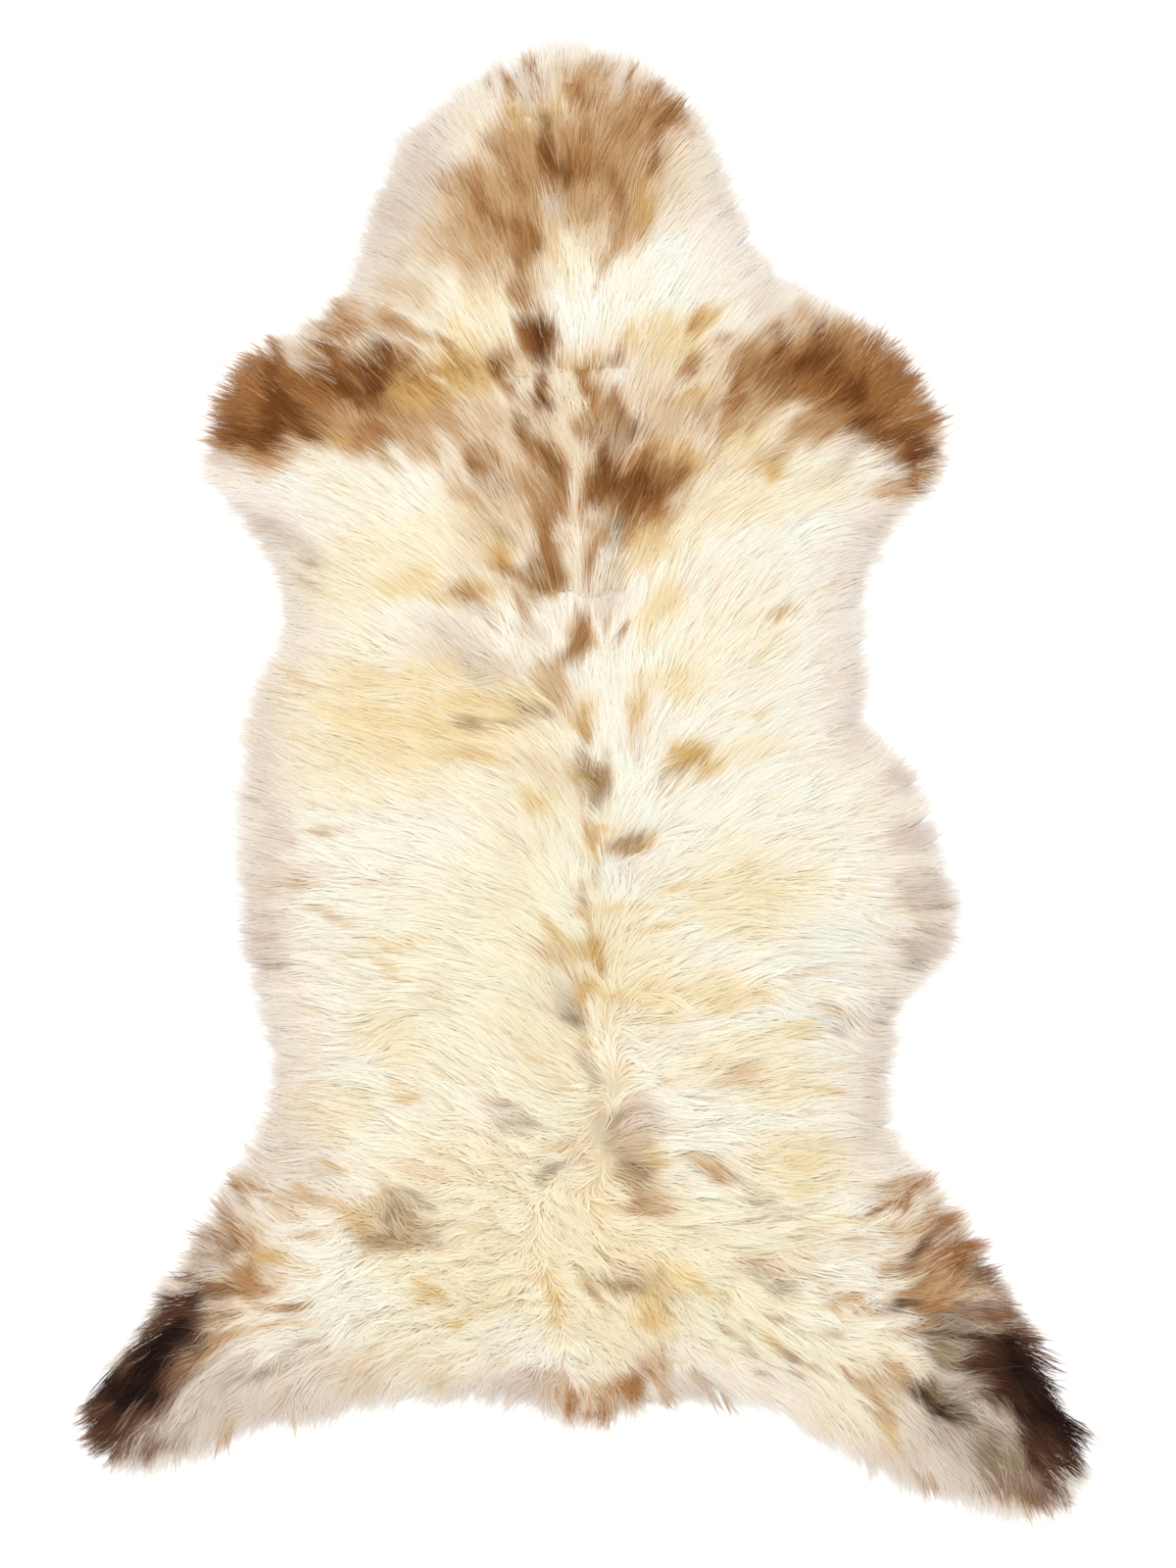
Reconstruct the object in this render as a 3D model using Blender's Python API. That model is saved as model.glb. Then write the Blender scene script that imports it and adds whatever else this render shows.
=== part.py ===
"""A natural sheepskin rug, laid flat with its neck towards +Y and its hind legs towards -Y.

The pelt is one piece, so it is one closed solid: a flat skin side that lies on the floor, a lumpy
slab of wool over it, and a rim of wool locks that spread from the skin's cut edge and rest on the
floor around it. The script works in metres with +Z up, and its tables are in millimetres. The
origin is the middle of the pelt's box, on the floor.
"""

import math
import random
from collections import namedtuple

import bmesh
import bpy
from mathutils import Vector, geometry, noise

MM = 0.001

# Sizes of the fleece, in millimetres
FLEECE_HEIGHT = 37.0
EDGE_HEIGHT = 14.0
SHOULDER_WIDTH = 85.0
LEAST_HEIGHT = 9.0
TUFT_SIZE = 44.0
TUFT_RELIEF = 12.0
UNDULATION_SIZE = 95.0
UNDULATION_RELIEF = 7.0
RELIEF_AT_EDGE = 0.35

# Sizes of the mesh and the locks, in millimetres
TOP_SPACING = 15.5
EDGE_CLEARANCE = 8.5
LOCK_PITCH = 15.0
LOCK_CLUMP = 110.0
LOCK_LEAN = 0.26
LOCK_STRAY = 0.06
SHORTEST_LOCK = 0.72
HOLLOW_ROOM = 0.3
TIP_WIDTH = 0.12
SPAN_STEPS = 8
SMOOTHING_PASSES = 4
SEED = 11

# Settings of the triangulation: only faces inside the rim, and how near two points are one
INSIDE_ONLY = 1
MERGE_DISTANCE = 1e-6

# Settings of the noise: the widest tuft in cells, and the slice of the noise that is used
WIDEST_TUFT = 0.9
NOISE_SLICE = 3.7

WOOL_COLOUR = (0.88, 0.80, 0.64)
WOOL_ROUGHNESS = 0.9
SKIN_COLOUR = (0.72, 0.60, 0.45)
SKIN_ROUGHNESS = 0.7

# The outline of the wool, clockwise from the top of the neck. Reach is how far the locks stand out
# from the skin's cut edge there.
Landmark = namedtuple("Landmark", "place x y reach")
OUTLINE = (
    Landmark("crown", -16, 554, 30),
    Landmark("crown right", 31, 540, 28),
    Landmark("nape right", 72, 512, 26),
    Landmark("neck right high", 98, 474, 24),
    Landmark("neck right", 115, 426, 24),
    Landmark("neck right root", 145, 378, 22),
    Landmark("foreleg right top", 196, 351, 24),
    Landmark("foreleg right brow", 240, 321, 28),
    Landmark("foreleg right tip", 268, 270, 30),
    Landmark("foreleg right foot", 261, 220, 28),
    Landmark("foreleg right under", 229, 191, 22),
    Landmark("armpit right", 207, 158, 18),
    Landmark("ribs right", 207, 110, 22),
    Landmark("ribs right low", 212, 73, 22),
    Landmark("flap right notch", 202, 41, 18),
    Landmark("flap right top", 238, 20, 22),
    Landmark("flap right brow", 262, -28, 28),
    Landmark("flap right", 283, -95, 30),
    Landmark("flap right foot", 270, -134, 26),
    Landmark("loin right notch", 239, -158, 20),
    Landmark("loin right", 230, -206, 24),
    Landmark("hip right", 229, -260, 22),
    Landmark("thigh right", 268, -303, 26),
    Landmark("knee right", 299, -354, 28),
    Landmark("shank right", 329, -405, 30),
    Landmark("hock right", 363, -460, 30),
    Landmark("foot right", 377, -503, 30),
    Landmark("toe right", 360, -541, 28),
    Landmark("heel right", 320, -553, 28),
    Landmark("shank right under", 250, -534, 26),
    Landmark("thigh right under", 192, -512, 26),
    Landmark("thigh right inner", 148, -486, 26),
    Landmark("rump right", 108, -472, 26),
    Landmark("tail right notch", 67, -463, 22),
    Landmark("tail right", 36, -473, 22),
    Landmark("tail", 4, -482, 24),
    Landmark("tail left", -28, -475, 22),
    Landmark("tail left notch", -52, -464, 22),
    Landmark("rump left", -93, -470, 26),
    Landmark("rump left notch", -129, -464, 24),
    Landmark("thigh left inner", -188, -478, 26),
    Landmark("thigh left under", -240, -486, 26),
    Landmark("heel left", -279, -507, 26),
    Landmark("foot left", -326, -516, 28),
    Landmark("toe left", -364, -507, 30),
    Landmark("hock left", -377, -468, 30),
    Landmark("shank left", -357, -430, 28),
    Landmark("shank left high", -323, -391, 26),
    Landmark("knee left", -301, -353, 26),
    Landmark("thigh left", -272, -301, 26),
    Landmark("hip left", -245, -256, 24),
    Landmark("loin left", -233, -209, 22),
    Landmark("flank left low", -255, -128, 26),
    Landmark("flank left", -264, -52, 28),
    Landmark("flank left high", -252, 25, 26),
    Landmark("ribs left notch", -238, 78, 22),
    Landmark("ribs left", -218, 112, 20),
    Landmark("armpit left", -225, 151, 18),
    Landmark("foreleg left under", -240, 180, 20),
    Landmark("foreleg left foot", -277, 212, 26),
    Landmark("foreleg left tip", -287, 244, 28),
    Landmark("foreleg left", -274, 285, 26),
    Landmark("foreleg left brow", -253, 319, 24),
    Landmark("neck left root", -191, 350, 20),
    Landmark("neck left low", -169, 392, 22),
    Landmark("neck left", -155, 445, 24),
    Landmark("neck left high", -126, 494, 26),
    Landmark("crown left", -71, 533, 28),
)

# Where the fleece stands fuller or lies thinner than the rest: an oval's middle, half its width,
# half its length, and how much it adds to the height.
Swell = namedtuple("Swell", "place x y half_width half_length rise")
SWELLS = (
    Swell("neck", -20, 430, 110, 80, 3),
    Swell("shoulder left", -130, 270, 110, 60, 4),
    Swell("shoulder right", 150, 270, 110, 60, 4),
    Swell("ribs left", -120, 60, 80, 130, 4),
    Swell("ribs right", 120, 60, 80, 130, 3),
    Swell("flap right", 225, -70, 50, 80, 5),
    Swell("rump left", -120, -330, 110, 90, 4),
    Swell("rump right", 130, -320, 110, 90, 4),
    Swell("shank left", -320, -450, 70, 60, -5),
    Swell("shank right", 310, -470, 80, 70, -5),
    Swell("tail", 4, -440, 50, 30, 4),
)

# Lines where the wool parts or the skin has been folded: the ends, the width and the depth.
Parting = namedtuple("Parting", "place start_x start_y end_x end_y width depth")
PARTINGS = (
    Parting("crown", -60, 497, -18, 496, 11, 5),
    Parting("nape left", -170, 284, -90, 302, 13, 8),
    Parting("nape", -90, 302, 88, 304, 12, 7),
    Parting("withers", -30, 142, 32, 141, 11, 6),
    Parting("spine", 2, 142, 4, -462, 18, 5),
    Parting("loin", -4, -78, 90, -76, 12, 4),
    Parting("spine to left rump", -8, -300, -150, -338, 14, 4),
)

# A lock from its root to its tip: how far along it each ring lies, and the share of the root's
# width and height that is left there.
Ring = namedtuple("Ring", "along width height")
LOCK_RINGS = (
    Ring(0.36, 0.84, 0.84),
    Ring(0.72, 0.60, 0.55),
    Ring(1.00, 0.16, 0.18),
)

# Where a lock grows from: the middle of its root on the skin's edge, the way it points and its reach.
Root = namedtuple("Root", "middle outward reach")


def clear_scene():
    for item in list(bpy.data.objects):
        bpy.data.objects.remove(item, do_unlink=True)


def smooth_step(share):
    """0 below 0, 1 above 1, and a soft rise between them."""
    share = max(0.0, min(1.0, share))
    return share * share * (3 - 2 * share)


def curve_point(before, start, end, after, share):
    """A point between start and end on a smooth curve that also passes near before and after."""
    straight = (end - before) * share
    bend = (2 * before - 5 * start + 4 * end - after) * share**2
    twist = (3 * start - before - 3 * end + after) * share**3
    return (2 * start + straight + bend + twist) / 2


def wool_outline():
    """The outline as closely spaced (x, y, reach) vectors."""
    marks = [Vector((mark.x, mark.y, mark.reach)) for mark in OUTLINE]
    count = len(marks)
    points = []
    for i in range(count):
        around = [marks[(i + k) % count] for k in (-1, 0, 1, 2)]
        for step in range(SPAN_STEPS):
            points.append(curve_point(*around, step / SPAN_STEPS))
    return points


def outward_normals(points):
    """The direction away from the pelt at each point of a clockwise outline."""
    normals = []
    for i in range(len(points)):
        along = (points[(i + 1) % len(points)] - points[i - 1]).to_2d().normalized()
        normals.append(Vector((-along.y, along.x)))
    return normals


def skin_edge():
    """The skin's cut edge, drawn in from the wool's outline by the reach of the locks."""
    outline = wool_outline()
    normals = outward_normals(outline)
    edge = []
    for point, normal in zip(outline, normals):
        inner = point.to_2d() - normal * point.z
        edge.append(Vector((inner.x, inner.y, point.z)))
    for _ in range(SMOOTHING_PASSES):
        count = len(edge)
        edge = [(edge[i - 1] + 2 * edge[i] + edge[(i + 1) % count]) / 4 for i in range(count)]
    return edge


def evenly_spaced(points, pitch):
    """The same closed line with its points about one pitch apart."""
    count = len(points)
    lengths = [(points[(i + 1) % count] - points[i]).to_2d().length for i in range(count)]
    total = sum(lengths)
    wanted = round(total / pitch)
    spaced = []
    i = 0
    walked = 0.0
    for k in range(wanted):
        target = total * k / wanted
        while walked + lengths[i] < target:
            walked += lengths[i]
            i += 1
        share = (target - walked) / lengths[i]
        spaced.append(points[i].lerp(points[(i + 1) % count], share))
    return spaced


def lock_roots(rim):
    """One root for each stretch of the rim, in order."""
    roots = []
    for i, end in enumerate(rim):
        start = rim[i - 1]
        along = (end - start).to_2d().normalized()
        outward = Vector((-along.y, along.x))
        roots.append(Root((start + end).to_2d() / 2, outward, (start.z + end.z) / 2))
    return roots


def distance_to_segment(point, start, end):
    along = end - start
    share = (point - start).dot(along) / along.length_squared
    return (point - start - along * max(0.0, min(1.0, share))).length


def distance_to_rim(point, corners):
    return min(distance_to_segment(point, corners[i - 1], end) for i, end in enumerate(corners))


def is_inside(point, corners):
    """Whether a line from the point to the right crosses the rim an odd number of times."""
    inside = False
    for i, end in enumerate(corners):
        start = corners[i - 1]
        if (start.y > point.y) != (end.y > point.y):
            crossing = start.x + (point.y - start.y) / (end.y - start.y) * (end.x - start.x)
            if point.x < crossing:
                inside = not inside
    return inside


def inner_points(corners):
    """A honeycomb of points inside the rim."""
    row_spacing = TOP_SPACING * math.sqrt(3) / 2
    low_x = min(corner.x for corner in corners)
    high_x = max(corner.x for corner in corners)
    low_y = min(corner.y for corner in corners)
    high_y = max(corner.y for corner in corners)
    points = []
    for row in range(int((high_y - low_y) / row_spacing) + 1):
        shift = TOP_SPACING / 2 * (row % 2)
        for column in range(int((high_x - low_x) / TOP_SPACING) + 1):
            point = Vector((low_x + shift + column * TOP_SPACING, low_y + row * row_spacing))
            if is_inside(point, corners) and distance_to_rim(point, corners) > EDGE_CLEARANCE:
                points.append(point)
    return points


def tuft_relief(point):
    """Rounded tufts with narrow hollows between them, from -1 to 1."""
    distances, _ = noise.voronoi(Vector((point.x / TUFT_SIZE, point.y / TUFT_SIZE, 0)))
    return 1 - 2 * min(1, distances[0] / WIDEST_TUFT)


def undulation(point):
    """Slow, uneven rises and hollows, from about -1 to 1."""
    x = point.x / UNDULATION_SIZE
    y = point.y / UNDULATION_SIZE
    return noise.noise(Vector((x, y, NOISE_SLICE)))


def wool_height(point, corners):
    """How high the fleece stands at a point, in millimetres."""
    rise = smooth_step(distance_to_rim(point, corners) / SHOULDER_WIDTH)
    relief = UNDULATION_RELIEF * undulation(point) + TUFT_RELIEF / 2 * tuft_relief(point)
    for swell in SWELLS:
        across = (point.x - swell.x) / swell.half_width
        down = (point.y - swell.y) / swell.half_length
        relief += swell.rise * math.exp(-(across**2) - down**2)
    for parting in PARTINGS:
        start = Vector((parting.start_x, parting.start_y))
        end = Vector((parting.end_x, parting.end_y))
        away = distance_to_segment(point, start, end) / parting.width
        relief -= parting.depth * math.exp(-(away**2))
    relief *= RELIEF_AT_EDGE + (1 - RELIEF_AT_EDGE) * rise
    height = EDGE_HEIGHT + (FLEECE_HEIGHT - EDGE_HEIGHT) * rise + relief
    return max(LEAST_HEIGHT, height)


def make_slab(corners):
    """The fleece over the skin: a flat sheet raised to the wool's height. Returns its wall faces."""
    loop = list(range(len(corners)))
    points, _, triangles, _, _, _ = geometry.delaunay_2d_cdt(
        corners + inner_points(corners), [], [loop], INSIDE_ONLY, MERGE_DISTANCE
    )
    mesh = bmesh.new()
    flat = [mesh.verts.new((point.x, point.y, 0)) for point in points]
    for triangle in triangles:
        mesh.faces.new([flat[i] for i in triangle])
    under = list(mesh.faces)
    raised = bmesh.ops.extrude_face_region(mesh, geom=under, use_keep_orig=True)["geom"]
    for item in raised:
        if isinstance(item, bmesh.types.BMVert):
            item.co.z = wool_height(item.co.to_2d(), corners)
    not_walls = set(under) | {item for item in raised if isinstance(item, bmesh.types.BMFace)}
    walls = [face for face in mesh.faces if face not in not_walls]
    bmesh.ops.recalc_face_normals(mesh, faces=list(mesh.faces))
    skin = bmesh.ops.dissolve_faces(mesh, faces=under, use_verts=True)["region"]
    for face in skin:
        face.material_index = 1
    return mesh, walls


def closing_angle(roots, i):
    """The angle at which a lock's neighbours close in on it, where the outline has a hollow."""
    after = roots[(i + 1) % len(roots)]
    return max(0.0, roots[i - 1].outward.cross(after.outward))


def grow_lock(mesh, wall, root, length, lean, squeeze):
    """Draw one wall face out into a four-sided lock whose underside stays level on the floor."""
    outward = root.outward.to_3d()
    along = Vector((outward.y, -outward.x, 0))
    middle = root.middle.to_3d()
    corners = [vert.co.copy() for vert in wall.verts]
    sides = [(corner - middle).dot(along) for corner in corners]
    face = wall
    for ring in LOCK_RINGS:
        face = bmesh.ops.extrude_discrete_faces(mesh, faces=[face])["faces"][0]
        bend = along * lean * ring.along**2
        spine = middle + (outward * ring.along + bend) * length
        width = max(TIP_WIDTH, ring.width - squeeze * ring.along)
        for vert, corner, side in zip(face.verts, corners, sides):
            place = spine + along * side * width
            vert.co = (place.x, place.y, corner.z * ring.height)


def grow_rim(mesh, walls, roots):
    """A lock on each wall face, shorter and narrower in the hollows of the outline.

    Neighbours lean together in clumps, and each has a small stray of its own.
    """
    wall_of = {}
    for wall in walls:
        middle = wall.calc_center_median().to_2d()
        wall_of[min(range(len(roots)), key=lambda i: (roots[i].middle - middle).length)] = wall
    dice = random.Random(SEED)
    for i, root in enumerate(roots):
        length = root.reach * dice.uniform(SHORTEST_LOCK, 1.0)
        closing = closing_angle(roots, i)
        if closing > 0:
            length = min(length, HOLLOW_ROOM * 2 * LOCK_PITCH / closing)
        squeeze = closing / 2 * length / LOCK_PITCH
        clump_lean = LOCK_LEAN * math.sin(math.tau * i * LOCK_PITCH / LOCK_CLUMP)
        lean = clump_lean + dice.uniform(-LOCK_STRAY, LOCK_STRAY)
        grow_lock(mesh, wall_of[i], root, length, lean, squeeze)


def centre(mesh):
    """Bring the box's middle over the origin, in millimetres."""
    xs = [vert.co.x for vert in mesh.verts]
    ys = [vert.co.y for vert in mesh.verts]
    middle = Vector(((min(xs) + max(xs)) / 2, (min(ys) + max(ys)) / 2, 0))
    bmesh.ops.translate(mesh, verts=list(mesh.verts), vec=-middle)


def plain_material(name, colour, roughness):
    material = bpy.data.materials.new(name)
    material.use_nodes = True
    shader = material.node_tree.nodes["Principled BSDF"]
    shader.inputs["Base Color"].default_value = (*colour, 1)
    shader.inputs["Roughness"].default_value = roughness
    shader.inputs["Metallic"].default_value = 0
    material.diffuse_color = (*colour, 1)
    return material


def make_pelt(collection):
    rim = evenly_spaced(skin_edge(), LOCK_PITCH)
    mesh, walls = make_slab([point.to_2d() for point in rim])
    grow_rim(mesh, walls, lock_roots(rim))
    centre(mesh)
    bmesh.ops.scale(mesh, verts=list(mesh.verts), vec=Vector((MM, MM, MM)))
    data = bpy.data.meshes.new("sheepskin")
    mesh.to_mesh(data)
    mesh.free()
    data.materials.append(plain_material("wool", WOOL_COLOUR, WOOL_ROUGHNESS))
    data.materials.append(plain_material("skin", SKIN_COLOUR, SKIN_ROUGHNESS))
    pelt = bpy.data.objects.new("sheepskin", data)
    collection.objects.link(pelt)
    return pelt


def main():
    clear_scene()
    collection = bpy.data.collections.new("sheepskin rug")
    bpy.context.scene.collection.children.link(collection)
    make_pelt(collection)


main()
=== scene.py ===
"""The looks of the sheepskin rug: the tanned skin, the dense wool on it and the long combed fleece.

Everything is in metres, in the frame of the CAD model, with the neck towards +Y. The charts are in
millimetres or in chart units, which count from the top left corner of a sheet of 1200 by 1600
units with the pelt seen from above.
"""

import math
from types import SimpleNamespace

import bpy
import numpy as np
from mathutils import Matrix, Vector, geometry
from mathutils.bvhtree import BVHTree


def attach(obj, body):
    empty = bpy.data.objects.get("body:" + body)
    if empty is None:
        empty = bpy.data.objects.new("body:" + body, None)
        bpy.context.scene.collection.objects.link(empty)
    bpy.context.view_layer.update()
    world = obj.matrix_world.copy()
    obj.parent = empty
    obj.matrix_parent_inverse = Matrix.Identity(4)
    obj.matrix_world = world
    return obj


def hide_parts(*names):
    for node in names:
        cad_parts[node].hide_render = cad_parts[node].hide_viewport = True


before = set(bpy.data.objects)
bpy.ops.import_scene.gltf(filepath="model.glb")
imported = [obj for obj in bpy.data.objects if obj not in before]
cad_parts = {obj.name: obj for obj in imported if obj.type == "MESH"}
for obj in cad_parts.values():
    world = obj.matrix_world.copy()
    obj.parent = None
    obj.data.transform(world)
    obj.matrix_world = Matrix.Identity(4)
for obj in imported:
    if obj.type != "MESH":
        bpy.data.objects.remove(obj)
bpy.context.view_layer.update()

MM = 0.001
SEED = 4

# The charts' size in units, the unit in millimetres, and the point over the pelt's middle
CHART_WIDTH = 1200
CHART_HEIGHT = 1600
UNIT = 0.73
MIDDLE_X = 597.7
MIDDLE_Y = 798.7

# The outline of the wool in millimetres, clockwise from the top of the neck, and how far the wool
# stands out there from the skin's cut edge.
OUTLINE_SHIFT = (0.52, 0.21)
OUTLINE = (
    (-16, 556, 25), (31, 542, 23), (72, 513, 22), (98, 475, 22), (115, 426, 24), (145, 378, 22),
    (196, 351, 24), (240, 321, 28), (268, 270, 27), (263, 220, 22), (231, 191, 19), (207, 158, 18),
    (207, 110, 22), (212, 73, 22), (202, 41, 18), (238, 20, 22), (262, -28, 28), (283, -95, 30),
    (270, -134, 26), (239, -158, 20), (230, -206, 24), (229, -260, 22), (268, -303, 26),
    (300, -354, 20), (331, -405, 16), (365, -460, 15), (377, -503, 20), (360, -541, 28),
    (320, -553, 28), (250, -534, 26), (192, -512, 26), (148, -486, 26), (108, -472, 26),
    (67, -463, 22), (36, -473, 22), (4, -482, 24), (-28, -475, 22), (-52, -464, 22),
    (-93, -470, 26), (-129, -464, 24), (-188, -478, 26), (-240, -486, 26), (-279, -507, 26),
    (-326, -516, 28), (-364, -507, 24), (-373, -468, 20), (-361, -430, 13), (-325, -391, 18),
    (-303, -353, 20), (-272, -301, 26), (-245, -256, 24), (-233, -209, 22), (-255, -128, 26),
    (-264, -52, 28), (-258, 25, 26), (-243, 78, 21), (-223, 112, 19), (-228, 151, 17),
    (-240, 180, 20), (-278, 212, 21), (-287, 244, 28), (-274, 285, 26), (-253, 319, 24),
    (-191, 350, 20), (-169, 392, 22), (-155, 445, 24), (-126, 494, 26), (-71, 535, 23),
)

# Which way the tips of the wool point, in degrees counterclockwise from the right, at points of the
# chart.
COMBING = (
    (575, 60, 90), (500, 90, 115), (430, 140, 145), (400, 220, 145), (370, 260, 160),
    (450, 250, 128), (500, 200, 110), (540, 250, 102), (650, 90, 68), (700, 130, 48),
    (745, 200, 30), (700, 240, 50), (640, 220, 75), (780, 280, 35), (300, 380, 145),
    (240, 430, 162), (215, 470, 172), (400, 420, 132), (470, 470, 128), (540, 470, 117),
    (300, 500, 158), (240, 510, 172), (350, 560, 160), (430, 560, 148), (500, 560, 130),
    (560, 560, 108), (830, 360, 48), (900, 380, 45), (930, 450, 25), (880, 490, 22), (800, 450, 38),
    (740, 420, 50), (680, 450, 62), (640, 500, 72), (860, 540, 12), (800, 540, 28), (720, 540, 45),
    (650, 560, 65), (320, 650, 158), (400, 640, 148), (480, 640, 135), (550, 650, 118),
    (590, 650, 95), (300, 720, 170), (400, 720, 170), (500, 730, 165), (550, 730, 145),
    (590, 740, 115), (290, 800, 162), (400, 800, 160), (500, 800, 148), (560, 820, 125),
    (260, 870, 160), (400, 870, 165), (500, 870, 152), (580, 870, 110), (280, 930, 183),
    (400, 920, 182), (500, 920, 170), (560, 940, 150), (640, 640, 70), (700, 640, 55),
    (780, 640, 45), (850, 640, 25), (850, 700, 20), (750, 720, 32), (680, 720, 58), (640, 720, 90),
    (720, 780, 40), (800, 800, 22), (880, 800, 17), (700, 860, 30), (800, 870, 17), (880, 880, 8),
    (650, 850, 52), (940, 830, 25), (960, 900, -5), (950, 960, -15), (700, 930, 5), (800, 940, -5),
    (880, 950, -15), (280, 1000, 178), (400, 990, 175), (500, 990, 162), (560, 1000, 135),
    (600, 1000, 110), (598, 1070, 140), (600, 1120, 165), (596, 1180, 180), (300, 1100, 175),
    (400, 1110, 168), (500, 1110, 158), (300, 1180, 175), (420, 1180, 172), (520, 1180, 160),
    (630, 990, 50), (680, 960, 20), (733, 1004, 12), (835, 1004, 8), (899, 1029, -6),
    (656, 1055, 8), (733, 1073, 5), (733, 1118, 7), (820, 1100, 5), (880, 1120, -3),
    (644, 1131, -10), (631, 1162, -5), (644, 1208, -17), (733, 1185, -12), (810, 1195, 6),
    (886, 1208, 12), (924, 1208, 22), (950, 1233, 30), (937, 1251, 36), (937, 1284, 28),
    (912, 1310, 18), (733, 1220, -5), (733, 1271, -8), (810, 1271, -5), (860, 1297, -3),
    (656, 1246, -20), (631, 1284, -35), (605, 1259, -42), (588, 1247, -48), (721, 1220, -5),
    (788, 1244, 6), (507, 1247, 195), (480, 1287, 190), (427, 1295, 188), (443, 1333, 195),
    (404, 1371, 210), (340, 1384, 218), (290, 1346, 198), (239, 1371, 206), (277, 1397, 228),
    (262, 1205, 150), (250, 1270, 128), (225, 1230, 138), (205, 1250, 155), (180, 1300, 168),
    (210, 1320, 192), (150, 1350, 216), (140, 1400, 226), (100, 1420, 220), (110, 1450, 226),
    (130, 1490, 238), (170, 1490, 248), (190, 1440, 228), (218, 1490, 236), (302, 1450, 268),
    (353, 1435, 255), (379, 1415, 238), (427, 1340, 195), (480, 1352, 198), (440, 1376, 206),
    (454, 1413, 235), (494, 1440, 250), (518, 1425, 238), (574, 1430, 264), (604, 1445, 250),
    (628, 1430, 276), (657, 1405, 308), (695, 1425, 320), (740, 1436, 312), (614, 1362, -35),
    (601, 1389, -50), (593, 1325, -32), (655, 1330, -57), (633, 1300, -42), (695, 1341, -38),
    (748, 1341, -32), (789, 1368, -37), (668, 1368, -60), (721, 1394, -50), (540, 1330, 196),
    (530, 1380, 205), (560, 1405, 240), (948, 1310, 22), (974, 1290, 30), (990, 1310, 22),
    (934, 1328, 7), (974, 1345, 3), (1003, 1360, -8), (1015, 1374, -14), (974, 1370, -17),
    (1028, 1401, -40), (1055, 1428, -53), (1082, 1476, -60), (1070, 1400, -25), (1096, 1450, -40),
    (1100, 1495, -55), (1050, 1540, -80), (1015, 1530, -75), (1001, 1482, -58), (988, 1455, -50),
    (964, 1420, -35), (948, 1401, -58), (934, 1428, -65), (907, 1455, -63), (926, 1495, -75),
    (889, 1401, -48), (840, 1401, -45), (814, 1428, -45), (827, 1475, -46), (787, 1361, -35),
    (854, 1353, -18), (894, 1374, -30), (907, 1348, -5), (881, 1321, -5), (881, 1267, -2),
    (881, 1227, 3),
)

# Whorls and cowlicks on the chart: the middle, the reach, and which way they turn
WHORLS = (
    (395, 1055, 26, 1.0), (860, 1040, 24, -1.0), (402, 1240, 28, -1.2), (970, 1422, 22, 1.2),
    (628, 1138, 22, 1.0), (790, 1018, 18, -0.8), (566, 1282, 20, 0.8),
)

# Colours of the wool, as seen in soft daylight, from 0 to 255
WOOL_COLOURS = {
    "white": (255, 254, 251),
    "ivory": (254, 250, 240),
    "cream": (252, 246, 226),
    "butter": (250, 239, 208),
    "yellow": (243, 224, 174),
    "golden": (224, 188, 116),
    "tan": (210, 172, 124),
    "blush": (230, 216, 201),
    "mauve": (224, 209, 197),
    "rust": (172, 112, 64),
    "brown": (172, 118, 66),
    "umber": (130, 79, 37),
    "black": (40, 24, 18),
    "sable": (88, 56, 40),
    "olive": (214, 188, 146),
    "moss": (172, 144, 104),
    "grey": (210, 194, 178),
    "slate": (170, 150, 126),
}

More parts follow.
